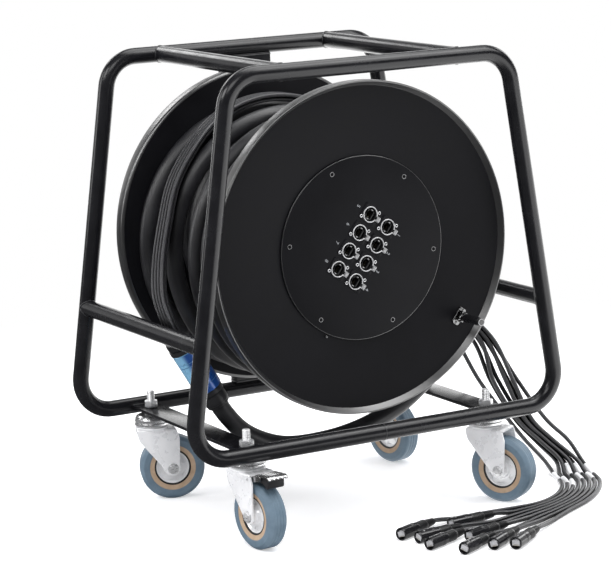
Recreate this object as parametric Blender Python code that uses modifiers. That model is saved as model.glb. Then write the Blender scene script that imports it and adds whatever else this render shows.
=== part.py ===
# Network snake cable on a wheeled drum stand.
#
# Metres, +Z up, floor at Z = 0. +X runs along the front loop, the socket panel faces -Y.
# Two bent tube loops carry a cantilevered drum, which turns on a spindle at the rear loop.
# The thick snake winds on the drum and ends in a breakout with thin network tails.

import math

import bmesh
import bpy
from mathutils import Matrix, Vector

# Gap between pieces that touch, and the clearance of a turning fit
SEAT_GAP = 0.0003
RUN_GAP = 0.0003
# How far the lumps of one solid reach into each other
JOIN_SINK = 0.001

# Tube frame
TUBE_D = 0.025
LOOP_Y = 0.193
LOOP_BOTTOM_Z = 0.143
LOOP_TOP_Z = 0.685
LOOP_BOTTOM_HALF = 0.3145
LOOP_TOP_HALF = 0.2322
LOOP_BEND_R = 0.050
TOP_TUBE_X = 0.147
MID_TUBE_Z = 0.307

# Flat bars that carry the casters
BAR_WIDTH = 0.040
BAR_THICK = 0.005
BAR_LIFT = 0.0025

# Upright that carries the drum spindle at the rear loop
POST_WIDTH = 0.084
POST_THICK = 0.018
AXLE_Z = 0.412
SPINDLE_D = 0.030
SPINDLE_COLLAR_D = 0.052
SPINDLE_COLLAR_LENGTH = 0.006
SPINDLE_NUT_AF = 0.046
SPINDLE_NUT_HEIGHT = 0.012
SPINDLE_TIP = 0.003

# Drum
FLANGE_R = 0.2465
FLANGE_RIM_WIDTH = 0.020
FLANGE_WEB = 0.0115
FLANGE_LIP = 0.007
FLANGE_ROUND = 0.004
FLANGE_LIP_DRAFT = 0.001
FRONT_FLANGE_INNER_Y = -0.1385
REAR_FLANGE_INNER_Y = 0.147
FLANGE_BORE_R = 0.105
CORE_R = 0.115
CORE_WALL = 0.004
CORE_WEB = 0.006
HUB_LENGTH = 0.046
HUB_WALL = 0.007
BEARING_WALL = 0.009
BEARING_RECESS = 0.001
HUB_HOLE_GAP = 0.002

# Socket panel
PANEL_R = 0.1365
PANEL_THICK = 0.0025
PANEL_SCREW_RING_R = 0.1229
PANEL_SCREW_R = 0.0042
PANEL_SCREW_HEAD = 0.0018
PANEL_SCREWS = 6
PANEL_SCREW_START = -22.8
SOCKET_ROWS = 4
SOCKET_PITCH_ROW = 0.0313
SOCKET_PITCH_COLUMN = 0.036
SOCKET_TILT = 37.36
SOCKET_WIDTH = 0.026
SOCKET_HEIGHT = 0.031
SOCKET_PLATE = 0.0016
SOCKET_RING_R = 0.0115
SOCKET_RING_LIFT = 0.0026
SOCKET_SHELL_R = 0.0118
SOCKET_SHELL_DEPTH = 0.024
SOCKET_MOUTH_WIDTH = 0.0125
SOCKET_MOUTH_HEIGHT = 0.0115
SOCKET_MOUTH_DEPTH = 0.021
CUT_REACH = 0.010
LATCH_WIDTH = 0.0070
LATCH_HEIGHT = 0.0060
LATCH_DEPTH = 0.0037
LATCH_PROUD = 0.0022
LATCH_TRAVEL = 0.0015
LATCH_RISE = 0.0155

# Folding crank on the front flange
CRANK_X = 0.1645
CRANK_Z = -0.1230
CRANK_REACH = 0.0630
CRANK_GRIP_D = 0.0125
CRANK_SHANK_D = 0.006
CRANK_DISC = 0.003
CRANK_PIN_D = 0.004
CRANK_PIN_HEIGHT = 0.010
CRANK_EAR_R = 0.0058
CRANK_EAR = 0.003
CRANK_KNUCKLE_WIDTH = 0.009
CRANK_BASE_LENGTH = 0.028
CRANK_BASE_WIDTH = 0.013
CRANK_BASE_THICK = 0.003
CRANK_COLLAR_GAP = 0.0007
CRANK_KNUCKLE_GAP = 0.0008
CRANK_PIN_STICK = 0.001
CRANK_EAR_INSET = 0.0001

# Casters
CASTER_INSET = 0.108
CASTER_X = LOOP_BOTTOM_HALF - CASTER_INSET
CASTER_Y = 0.156
CASTER_TRAIL = 0.028
WHEEL_R = 0.050
WHEEL_WIDTH = 0.030
WHEEL_TAN_R = 0.036
WHEEL_HUB_R = 0.012
WHEEL_HUB_WIDTH = 0.034
WHEEL_DISC_R = 0.027
WHEEL_DISC_HALF = 0.0108
WHEEL_CROWN = 0.005
WHEEL_TREAD_HALF = 0.00825
AXLE_BOLT_D = 0.010
AXLE_HEAD_D = 0.013
AXLE_HEAD_HEIGHT = 0.004
FORK_WALL = 0.003
FORK_SIDE_GAP = 0.0016
FORK_CROWN_Z = 0.1115
FORK_TOP_LENGTH = 0.050
FORK_END_R = 0.011
FORK_HEEL_INSET = 0.002
FORK_HEEL_DROP = 0.018
FORK_TOE_REACH = 0.010
FORK_TOE_SPREAD = 0.005
FORK_TOE_DROP = 0.016
FORK_CROWN_DRAFT = 0.004
RACE_D = 0.054
RACE_HEIGHT = 0.016
RACE_Z = 0.118
RACE_DRAFT = 0.003
STUD_D = 0.012
STUD_TOP_Z = 0.1715
STUD_NUT_AF = 0.019
STUD_NUT_HEIGHT = 0.010
STUD_BOSS_D = 0.024

# Brake pedal of the front left caster
PEDAL_PIN_X = 0.030
PEDAL_PIN_Z = 0.106
PEDAL_PIN_D = 0.004
PEDAL_KNUCKLE_R = 0.0042
PEDAL_WIDTH = 0.034
PEDAL_REACH = 0.079
PEDAL_PLATE = 0.003
PEDAL_RISE = 0.0105
PEDAL_NECK = 0.012
PEDAL_NECK_RISE = 0.003
PEDAL_TIP_INSET = 0.002

# Underside of the pedal from its neck over the brake shoe, from the pin
PEDAL_UNDERSIDE = (
    (0.012, -0.0015),
    (0.029, -0.0035),
    (0.033, -0.0110),
    (0.040, -0.0165),
    (0.043, -0.0120),
)

# Trailing direction of each caster, degrees from +X
CASTERS = {
    "front_left": (-1, -1, -84.0),
    "front_right": (1, -1, -60.0),
    "rear_left": (-1, 1, -21.0),
    "rear_right": (1, 1, -80.0),
}
BRAKED_CASTER = "front_left"

# Thick snake cable
SNAKE_D = 0.0274
COIL_R = 0.196
COIL_SAG_X = -0.014
COIL_SAG_Z = -0.014
COIL_STEP = 15.0
COIL_START = 15.0
COIL_END = 270.0
COIL_PLANES = (-0.112, -0.071, -0.030, 0.045, 0.1325)
COIL_CROSS_FROM = 195.0
COIL_CROSS_TO = 345.0

# Route of the slack from the breakout to the winding: angle about the axle, radius, Y
SLACK_ROUTE = (
    (240.5, 0.3145, -0.0555),
    (252.0, 0.3155, -0.0590),
    (265.0, 0.3040, -0.0640),
    (278.0, 0.2940, -0.0690),
    (290.0, 0.2850, -0.0740),
    (301.0, 0.2740, -0.0810),
    (312.0, 0.2620, -0.0860),
    (323.0, 0.2480, -0.0920),
    (334.0, 0.2325, -0.0985),
    (345.0, 0.2160, -0.1045),
    (356.0, 0.1990, -0.1090),
)

# Breakout: blue tube between two glands, upper end and lower end of the tube
BREAKOUT_TOP = (-0.2448, -0.0448, 0.2748)
BREAKOUT_BOTTOM = (-0.2103, -0.0498, 0.2140)
BREAKOUT_D = 0.042
GLAND_LENGTH = 0.019
UPPER_GLAND_D = 0.0355
LOWER_GLAND_D = 0.036
GLAND_SEAT_D = 0.038
GLAND_SEAT_LENGTH = 0.0076
GLAND_STEP_LENGTH = 0.0095
GLAND_NOSE_TAPER = 0.003
BREAKOUT_EDGE = 0.001
BREAKOUT_GROOVE = 0.0012
BREAKOUT_GROOVE_SHARES = (0.20, 0.22, 0.28, 0.30)

# Network tails and their plugs
TAIL_D = 0.0068
TAIL_COUNT = 8
TAIL_EXIT_STEP = 0.0038
TAIL_EXIT_ROW = 0.0034
TAIL_INNER_RADIUS = 0.2137
TAIL_LAYER_STEP = 0.0064
TAIL_LANE_PITCH = 0.0076
TAIL_POINT_STEP = 4.4 * TAIL_D

# The tails rise and go round in four lanes of two, the even one outside and the odd one inside.
# Middle of that band and pitch of its lanes on the way up
RISE_STATIONS = (
    ((-0.2645, -0.0395, 0.3145), 0.0100),
    ((-0.2655, -0.0150, 0.3500), 0.0096),
    ((-0.2500, 0.0140, 0.3955), 0.0090),
    ((-0.2270, 0.0350, 0.4542), 0.0084),
    ((-0.2035, 0.0500, 0.5050), 0.0080),
)
# Angle round the winding and Y of the middle of the band there
TAIL_BAND = (
    (135.0, 0.060),
    (120.0, 0.078),
    (105.0, 0.090),
    (90.0, 0.099),
    (75.0, 0.104),
    (60.0, 0.104),
    (45.0, 0.100),
    (30.0, 0.094),
    (15.0, 0.086),
)
# Each tail from the winding down the right side to just over the floor
FALL_POINTS = (
    (
        (0.2069, 0.0684, 0.3702), (0.2213, 0.0537, 0.3252), (0.2460, 0.0460, 0.2680),
        (0.2790, 0.0350, 0.2060), (0.3060, 0.0140, 0.1400), (0.3390, -0.0200, 0.0760),
        (0.3540, -0.0420, 0.0460), (0.3660, -0.0770, 0.0180),
    ),
    (
        (0.2014, 0.0735, 0.3699), (0.2165, 0.0624, 0.3247), (0.2548, 0.0524, 0.2638),
        (0.3048, 0.0265, 0.2028), (0.3250, 0.0100, 0.1380), (0.3515, -0.0208, 0.0745),
        (0.3709, -0.0467, 0.0430), (0.3843, -0.0827, 0.0153),
    ),
    (
        (0.2090, 0.0766, 0.3703), (0.2303, 0.0597, 0.3252), (0.2613, 0.0420, 0.2664),
        (0.3103, 0.0130, 0.2044), (0.3240, 0.0010, 0.1400), (0.3501, -0.0298, 0.0762),
        (0.3722, -0.0560, 0.0454), (0.3864, -0.0923, 0.0184),
    ),
    (
        (0.2028, 0.0814, 0.3698), (0.2257, 0.0683, 0.3248), (0.2655, 0.0498, 0.2647),
        (0.3124, 0.0219, 0.2036), (0.3350, 0.0030, 0.1380), (0.3611, -0.0263, 0.0746),
        (0.3786, -0.0517, 0.0441), (0.3941, -0.0889, 0.0158),
    ),
    (
        (0.2115, 0.0845, 0.3704), (0.2393, 0.0656, 0.3253), (0.2722, 0.0430, 0.2672),
        (0.3192, 0.0090, 0.2052), (0.3410, -0.0090, 0.1400), (0.3594, -0.0357, 0.0769),
        (0.3812, -0.0614, 0.0455), (0.3972, -0.0982, 0.0185),
    ),
    (
        (0.2050, 0.0895, 0.3697), (0.2347, 0.0744, 0.3247), (0.2759, 0.0520, 0.2657),
        (0.3213, 0.0170, 0.2032), (0.3489, -0.0049, 0.1379), (0.3695, -0.0321, 0.0743),
        (0.3883, -0.0570, 0.0431), (0.4048, -0.0958, 0.0155),
    ),
    (
        (0.2140, 0.0924, 0.3705), (0.2482, 0.0725, 0.3254), (0.2825, 0.0439, 0.2674),
        (0.3276, 0.0029, 0.2055), (0.3510, -0.0160, 0.1390), (0.3694, -0.0411, 0.0764),
        (0.3904, -0.0672, 0.0456), (0.4092, -0.1062, 0.0175),
    ),
    (
        (0.2075, 0.0975, 0.3696), (0.2437, 0.0815, 0.3246), (0.2863, 0.0540, 0.2660),
        (0.3293, 0.0129, 0.2040), (0.3620, -0.0120, 0.1370), (0.3940, -0.0460, 0.0730),
        (0.4150, -0.0740, 0.0430), (0.4200, -0.1040, 0.0150),
    ),
)
# On the floor: place of the first tail and of the last one
FLOOR_STATIONS = (
    ((0.3560, -0.1200, 0.0040), (0.4120, -0.1400, 0.0040)),
    ((0.3400, -0.1600, 0.0040), (0.3960, -0.1840, 0.0040)),
    ((0.3160, -0.1940, 0.0040), (0.3600, -0.2300, 0.0040)),
    ((0.2800, -0.2240, 0.0040), (0.3130, -0.2680, 0.0040)),
    ((0.2380, -0.2400, 0.0040), (0.2560, -0.2990, 0.0040)),
)

# Each plug: nose on the floor, heading of its body, then the last floor points of its tail
PLUG_PLACES = (
    ((-0.0230, -0.2740), 22.0, ((0.1500, -0.2350), (0.1000, -0.2330))),
    ((0.0640, -0.2720), 6.0, ((0.1860, -0.2560),)),
    ((-0.0110, -0.3020), 8.0, ((0.1900, -0.2680), (0.1350, -0.2810))),
    ((-0.0160, -0.3400), 20.0, ((0.1920, -0.2800), (0.1300, -0.2970))),
    ((0.0520, -0.3390), 14.0, ((0.1940, -0.2920),)),
    ((0.0120, -0.3880), 26.0, ((0.1980, -0.3030), (0.1400, -0.3300))),
    ((0.0580, -0.3940), 31.0, ((0.2000, -0.3140),)),
    ((0.0850, -0.4100), 33.0, ((0.2100, -0.3260),)),
)
PLUG_D = 0.019
PLUG_SHELL_LENGTH = 0.036
PLUG_MOUTH_D = 0.0152
PLUG_MOUTH_DEPTH = 0.003
PLUG_BACK_LENGTH = 0.024
PLUG_BACK_D = 0.0166
PLUG_BOOT_LENGTH = 0.020
PLUG_BOOT_D = 0.0104
PLUG_BOOT_FLARE = 0.0012
PLUG_BOOT_ROOT = 0.002
PLUG_BACK_TAPER = 0.003
PLUG_SHELL_STEP = 0.001

# Facets of the round pieces
FLANGE_STEPS = 40
CORE_STEPS = 32
WHEEL_STEPS = 16

PART_NAME = "network_snake_drum"


def start_scene():
    for item in list(bpy.data.objects):
        bpy.data.objects.remove(item, do_unlink=True)
    groups = {}
    for name in (PART_NAME, "cutters"):
        group = bpy.data.collections.new(name)
        bpy.context.scene.collection.children.link(group)
        groups[name] = group
    return groups[PART_NAME], groups["cutters"]


PARTS, CUTTERS = start_scene()


def paint(name, colour, metallic, roughness):
    material = bpy.data.materials.new(name)
    material.use_nodes = True
    shader = material.node_tree.nodes["Principled BSDF"]
    shader.inputs["Base Color"].default_value = (*colour, 1.0)
    shader.inputs["Metallic"].default_value = metallic
    shader.inputs["Roughness"].default_value = roughness
    material.diffuse_color = (*colour, 1.0)
    return material


FRAME_PAINT = paint("black_powder_coat", (0.030, 0.030, 0.034), 0.3, 0.38)
FLANGE_PAINT = paint("black_board", (0.018, 0.018, 0.020), 0.0, 0.55)
ZINC = paint("bright_zinc", (0.78, 0.79, 0.80), 1.0, 0.28)
STEEL = paint("turned_steel", (0.55, 0.56, 0.58), 1.0, 0.35)
TYRE = paint("grey_blue_tyre", (0.235, 0.320, 0.390), 0.0, 0.55)
SOCKET_METAL = paint("socket_nickel", (0.60, 0.58, 0.55), 1.0, 0.35)
LATCH_METAL = paint("latch_steel", (0.66, 0.66, 0.64), 1.0, 0.30)
SNAKE_JACKET = paint("snake_jacket", (0.035, 0.035, 0.040), 0.0, 0.50)
TAIL_JACKET = paint("tail_jacket", (0.060, 0.060, 0.068), 0.0, 0.55)
BLUE_ANODISED = paint("blue_anodised", (0.045, 0.165, 0.620), 0.9, 0.30)
GLAND_BLACK = paint("gland_black", (0.020, 0.020, 0.022), 0.0, 0.45)
PLUG_SHELL = paint("plug_shell", (0.075, 0.075, 0.080), 0.8, 0.30)
PEDAL_STEEL = paint("pedal_steel", (0.62, 0.63, 0.65), 1.0, 0.25)


def empty(name, location, turn=(0.0, 0.0, 0.0), parent=None):
    item = bpy.data.objects.new(name, None)
    item.location = location
    item.rotation_euler = turn
    item.parent = parent
    PARTS.objects.link(item)
    return item


def place(item, parent, location=(0.0, 0.0, 0.0), turn=(0.0, 0.0, 0.0)):
    item.parent = parent
    item.location = location
    item.rotation_euler = turn
    return item


def shade(mesh):
    mesh.shade_smooth()
    mesh.set_sharp_from_angle(angle=math.radians(35.0))


def mesh_object(name, bm, material, group=None):
    mesh = bpy.data.meshes.new(name)
    bm.to_mesh(mesh)
    bm.free()
    shade(mesh)
    mesh.materials.append(material)
    item = bpy.data.objects.new(name, mesh)
    (group or PARTS).objects.link(item)
    return item


def add_box(bm, low, high, turn=None):
    low, high = Vector(low), Vector(high)
    size = high - low
    matrix = Matrix.Translation((low + high) / 2) @ Matrix.Diagonal((*size, 1.0))
    bmesh.ops.create_cube(bm, size=1.0, matrix=(turn or Matrix()) @ matrix)


def add_rod(bm, start, end, radius, sides, top_radius=None, phase=0.0):
    start, end = Vector(start), Vector(end)
    run = end - start
    turn = run.to_track_quat("Z", "Y").to_matrix().to_4x4() @ Matrix.Rotation(phase, 4, "Z")
    bmesh.ops.create_cone(
        bm,
        cap_ends=True,
        cap_tris=False,
        segments=sides,
        radius1=radius,
        radius2=radius if top_radius is None else top_radius,
        depth=run.length,
        matrix=Matrix.Translation((start + end) / 2) @ turn,
    )


def turned(name, profile, steps, material, group=None):
    # Profile of (radius, height) points about the local Z axis, down its outer side
    mesh = bpy.data.meshes.new(name)
    bm = bmesh.new()
    corners = [bm.verts.new((radius, 0.0, height)) for radius, height in profile]
    for first, second in zip(corners, corners[1:]):
        bm.edges.new((first, second))
    if profile[0][0] > 0.0:
        bm.edges.new((corners[-1], corners[0]))
    bm.to_mesh(mesh)
    bm.free()
    mesh.materials.append(material)
    item = bpy.data.objects.new(name, mesh)
    (group or PARTS).objects.link(item)
    screw = item.modifiers.new("turn", "SCREW")
    screw.axis = "Z"
    screw.steps = steps
    screw.render_steps = steps
    screw.use_merge_vertices = True
    screw.merge_threshold = 0.00001
    return item


def boolean(target, tool, operation):
    change = target.modifiers.new(operation.lower(), "BOOLEAN")
    change.operation = operation
    change.solver = "EXACT"
    change.object = tool
    tool.hide_render = True
    tool.display_type = "WIRE"


def tool_object(name, bm, parent=None):
    item = mesh_object(name, bm, STEEL, CUTTERS)
    item.parent = parent
    return item


def tube(name, points, radius, resolution, material, closed=False):
    curve = bpy.data.curves.new(name, "CURVE")
    curve.dimensions = "3D"
    curve.fill_mode = "FULL"
    curve.bevel_depth = radius
    curve.bevel_resolution = resolution
    curve.use_fill_caps = not closed
    spline = curve.splines.new("POLY")
    spline.points.add(len(points) - 1)
    for point, spot in zip(spline.points, points):
        point.co = (*spot, 1.0)
    spline.use_cyclic_u = closed
    spline.use_smooth = True
    curve.materials.append(material)
    item = bpy.data.objects.new(name, curve)
    PARTS.objects.link(item)
    return item


def made_mesh(item, group=None):
    # The curve as a mesh with its caps welded, under the same name
    name = item.name
    graph = bpy.context.evaluated_depsgraph_get()
    mesh = bpy.data.meshes.new_from_object(item.evaluated_get(graph))
    matrix = item.matrix_world.copy()
    bm = bmesh.new()
    bm.from_mesh(mesh)
    bmesh.ops.remove_doubles(bm, verts=bm.verts, dist=0.00001)
    bm.to_mesh(mesh)
    bm.free()
    shade(mesh)
    bpy.data.objects.remove(item, do_unlink=True)
    result = bpy.data.objects.new(name, mesh)
    result.matrix_world = matrix
    (group or PARTS).objects.link(result)
    return result


def plate(name, outline, thickness, material, group=None):
    # A flat outline in local XY with its thickness along local Z
    curve = bpy.data.curves.new(name, "CURVE")
    curve.dimensions = "2D"
    curve.fill_mode = "BOTH"
    curve.extrude = thickness / 2
    spline = curve.splines.new("POLY")
    spline.points.add(len(outline) - 1)
    for point, (x, y) in zip(spline.points, outline):
        point.co = (x, y, 0.0, 1.0)
    spline.use_cyclic_u = True
    curve.materials.append(material)
    item = bpy.data.objects.new(name, curve)
    PARTS.objects.link(item)
    return made_mesh(item, group)


def arc(centre, radius, start, end, steps):
    spots = []
    for i in range(steps + 1):
        angle = math.radians(start + (end - start) * i / steps)
        spots.append((centre[0] + radius * math.cos(angle), centre[1] + radius * math.sin(angle)))
    return spots


def rounded(corners, radius, steps):
    # A closed outline with an arc of the same radius at each corner
    spots = []
    for i, corner in enumerate(corners):
        here = Vector(corner)
        before = (Vector(corners[i - 1]) - here).normalized()
        after = (Vector(corners[(i + 1) % len(corners)]) - here).normalized()
        half = before.angle(after) / 2
        middle = here + (before + after).normalized() * radius / math.sin(half)
        first = here + before * radius / math.tan(half) - middle
        last = here + after * radius / math.tan(half) - middle
        start = math.atan2(first.y, first.x)
        sweep = (math.atan2(last.y, last.x) - start + math.pi) % (2 * math.pi) - math.pi
        for j in range(steps + 1):
            angle = start + sweep * j / steps
            spots.append(middle + Vector((math.cos(angle), math.sin(angle))) * radius)
    return spots


def smooth_route(points, step, coarse=()):
    # A curve through all the points, read about every step. The spans named in coarse, which
    # lie on the winding, keep their own points
    points = [Vector(point) for point in points]
    ends = [points[0] * 2 - points[1]] + points + [points[-1] * 2 - points[-2]]
    route = [points[0]]
    for i in range(1, len(points)):
        p0, p1, p2, p3 = ends[i - 1:i + 3]
        k0 = max((p1 - p0).length, 1e-6) ** 0.5
        k1 = max((p2 - p1).length, 1e-6) ** 0.5
        k2 = max((p3 - p2).length, 1e-6) ** 0.5
        m1 = (p1 - p0) / k0 - (p2 - p0) / (k0 + k1) + (p2 - p1) / k1
        m2 = (p2 - p1) / k1 - (p3 - p1) / (k1 + k2) + (p3 - p2) / k2
        m1, m2 = m1 * k1, m2 * k1
        count = 1 if i in coarse else max(1, round((p2 - p1).length / step))
        for j in range(1, count + 1):
            t = j / count
            route.append(
                p1 * (2 * t ** 3 - 3 * t ** 2 + 1)
                + m1 * (t ** 3 - 2 * t ** 2 + t)
                + p2 * (3 * t ** 2 - 2 * t ** 3)
                + m2 * (t ** 3 - t ** 2)
            )
    return route


def route_length(route):
    return sum((b - a).length for a, b in zip(route, route[1:]))


# Frame

def leg_x(z):
    share = (z - LOOP_BOTTOM_Z) / (LOOP_TOP_Z - LOOP_BOTTOM_Z)
    return LOOP_BOTTOM_HALF + share * (LOOP_TOP_HALF - LOOP_BOTTOM_HALF)


def loop(name, y):
    corners = [
        (-LOOP_BOTTOM_HALF, LOOP_BOTTOM_Z),
        (LOOP_BOTTOM_HALF, LOOP_BOTTOM_Z),
        (LOOP_TOP_HALF, LOOP_TOP_Z),
        (-LOOP_TOP_HALF, LOOP_TOP_Z),
    ]
    points = [(x, y, z) for x, z in rounded(corners, LOOP_BEND_R, 5)]
    return tube(name, points, TUBE_D / 2, 3, FRAME_PAINT, closed=True)


def cope_tool(name, start, end):
    bm = bmesh.new()
    add_rod(bm, start, end, TUBE_D / 2 + SEAT_GAP, 16)
    return tool_object(name, bm)


def cross_tube(name, x, z):
    # A straight tube between the loops, its ends coped to the loop that it meets
    bm = bmesh.new()
    add_rod(bm, (x, -LOOP_Y, z), (x, LOOP_Y, z), TUBE_D / 2, 12)
    item = mesh_object(name, bm, FRAME_PAINT)
    side = math.copysign(1.0, x)
    for end, y in (("front", -LOOP_Y), ("rear", LOOP_Y)):
        if z == LOOP_TOP_Z:
            line = ((x - TUBE_D * 2, y, z), (x + TUBE_D * 2, y, z))
        else:
            low, high = z - TUBE_D * 2, z + TUBE_D * 2
            line = ((side * leg_x(low), y, low), (side * leg_x(high), y, high))
        boolean(item, cope_tool(name + "_cope_" + end, *line), "DIFFERENCE")
    return item


def caster_bar(name, side):
    top = LOOP_BOTTOM_Z + BAR_LIFT
    reach = LOOP_Y - TUBE_D / 2 - SEAT_GAP
    bm = bmesh.new()
    x = side * CASTER_X
    add_box(bm, (x - BAR_WIDTH / 2, -reach, top - BAR_THICK), (x + BAR_WIDTH / 2, reach, top))
    item = mesh_object(name, bm, FRAME_PAINT)
    holes = bmesh.new()
    for y in (-CASTER_Y, CASTER_Y):
        add_rod(holes, (x, y, top - 2 * BAR_THICK), (x, y, top + BAR_THICK), STUD_D / 2 + SEAT_GAP, 16)
    boolean(item, tool_object(name + "_holes", holes), "DIFFERENCE")
    return item


def axle_post():
    # Upright plate, with the spindle that the drum turns on
    front = LOOP_Y - POST_THICK / 2
    bm = bmesh.new()
    add_box(
        bm,
        (-POST_WIDTH / 2, front, LOOP_BOTTOM_Z),
        (POST_WIDTH / 2, LOOP_Y + POST_THICK / 2, LOOP_TOP_Z),
    )
    item = mesh_object("axle_post", bm, FRAME_PAINT)
    for end, z in (("bottom", LOOP_BOTTOM_Z), ("top", LOOP_TOP_Z)):
        line = ((-POST_WIDTH, LOOP_Y, z), (POST_WIDTH, LOOP_Y, z))
        boolean(item, cope_tool("axle_post_cope_" + end, *line), "DIFFERENCE")
    hub_front = REAR_FLANGE_INNER_Y - SEAT_GAP - HUB_LENGTH
    nut_face = hub_front - SEAT_GAP
    tip = nut_face - SPINDLE_NUT_HEIGHT
    rod = bmesh.new()
    add_rod(rod, (0, LOOP_Y, AXLE_Z), (0, tip - SPINDLE_TIP, AXLE_Z), SPINDLE_D / 2, 20)
    boolean(item, tool_object("spindle", rod), "UNION")
    collar = bmesh.new()
    add_rod(
        collar,
        (0, front + JOIN_SINK, AXLE_Z),
        (0, front - SPINDLE_COLLAR_LENGTH, AXLE_Z),
        SPINDLE_COLLAR_D / 2,
        16,
    )
    boolean(item, tool_object("spindle_collar", collar), "UNION")
    nut = bmesh.new()
    add_rod(nut, (0, nut_face, AXLE_Z), (0, tip, AXLE_Z), SPINDLE_NUT_AF / math.sqrt(3), 6)
    boolean(item, tool_object("spindle_nut", nut), "UNION")
    return item


def frame():
    loop("front_loop", -LOOP_Y)
    loop("rear_loop", LOOP_Y)
    for side, name in ((-1, "left"), (1, "right")):
        cross_tube("top_tube_" + name, side * TOP_TUBE_X, LOOP_TOP_Z)
        cross_tube("mid_tube_" + name, side * leg_x(MID_TUBE_Z), MID_TUBE_Z)
        caster_bar("caster_bar_" + name, side)
    axle_post()


# Casters

def wheel_profile():
    half = WHEEL_WIDTH / 2
    bore = AXLE_BOLT_D / 2 + RUN_GAP
    side = [
        (WHEEL_HUB_R, WHEEL_HUB_WIDTH / 2),
        (WHEEL_HUB_R, WHEEL_DISC_HALF),
        (WHEEL_DISC_R, WHEEL_DISC_HALF),
        (WHEEL_TAN_R, half),
        (WHEEL_R - WHEEL_CROWN, half),
        (WHEEL_R, WHEEL_TREAD_HALF),
    ]
    return [(bore, WHEEL_HUB_WIDTH / 2)] + side + [(r, -h) for r, h in reversed(side)] + [
        (bore, -WHEEL_HUB_WIDTH / 2)
    ]


def caster_stem(name, post):
    # Swivel housing, boss, threaded stud and the nut on top of the bar
    bar_top = LOOP_BOTTOM_Z + BAR_LIFT
    race_top = RACE_Z + RACE_HEIGHT
    bm = bmesh.new()
    add_rod(bm, (0, 0, RACE_Z), (0, 0, race_top), RACE_D / 2, 16, RACE_D / 2 - RACE_DRAFT)
    item = mesh_object(name, bm, ZINC)
    boss = bmesh.new()
    add_rod(boss, (0, 0, race_top - JOIN_SINK), (0, 0, bar_top - BAR_THICK - SEAT_GAP), STUD_BOSS_D / 2, 8)
    boolean(item, tool_object(name + "_boss", boss, post), "UNION")
    stud = bmesh.new()
    add_rod(stud, (0, 0, race_top - 2 * JOIN_SINK), (0, 0, STUD_TOP_Z), STUD_D / 2, 8)
    boolean(item, tool_object(name + "_stud", stud, post), "UNION")
    nut = bmesh.new()
    low = bar_top + SEAT_GAP
    add_rod(nut, (0, 0, low), (0, 0, low + STUD_NUT_HEIGHT), STUD_NUT_AF / math.sqrt(3), 6)
    boolean(item, tool_object(name + "_nut", nut, post), "UNION")
    return place(item, post)


def caster_fork(name, post):
    # Folded steel fork: crown plate and two tapering legs, with the axle bolt through them
    inner = WHEEL_HUB_WIDTH / 2 + FORK_SIDE_GAP
    outer = inner + FORK_WALL
    crown_top = RACE_Z - SEAT_GAP
    front = -FORK_TOP_LENGTH / 2
    tip = arc((CASTER_TRAIL, WHEEL_R), FORK_END_R, 200, 345, 4)
    web_top = FORK_CROWN_Z + FORK_WALL
    back = FORK_TOP_LENGTH / 2 + FORK_TOE_REACH
    outline = [(front, web_top), (front + FORK_HEEL_INSET, web_top - FORK_HEEL_DROP)] + tip + [
        (back + FORK_TOE_SPREAD, web_top - FORK_TOE_DROP),
        (back, web_top),
    ]
    item = plate(name, outline, 2 * outer, ZINC)
    item.data.transform(Matrix.Rotation(math.radians(90.0), 4, "X"))
    slot = bmesh.new()
    add_box(slot, (-FORK_TOP_LENGTH, -inner, 0.0), (FORK_TOP_LENGTH * 2, inner, FORK_CROWN_Z))
    boolean(item, tool_object(name + "_slot", slot, post), "DIFFERENCE")
    crown = bmesh.new()
    low = (0, 0, web_top - JOIN_SINK)
    add_rod(crown, low, (0, 0, crown_top), RACE_D / 2, 16, RACE_D / 2 - FORK_CROWN_DRAFT)
    boolean(item, tool_object(name + "_crown", crown, post), "UNION")
    axle = bmesh.new()
    reach = outer + AXLE_HEAD_HEIGHT
    add_rod(axle, (CASTER_TRAIL, -outer, WHEEL_R), (CASTER_TRAIL, outer, WHEEL_R), AXLE_BOLT_D / 2, 10)
    boolean(item, tool_object(name + "_axle", axle, post), "UNION")
    heads = bmesh.new()
    for side in (-1, 1):
        start = (CASTER_TRAIL, side * (outer - JOIN_SINK), WHEEL_R)
        end = (CASTER_TRAIL, side * reach, WHEEL_R)
        add_rod(heads, start, end, AXLE_HEAD_D / math.sqrt(3), 6)
    boolean(item, tool_object(name + "_bolt_heads", heads, post), "UNION")
    return place(item, post)


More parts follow.
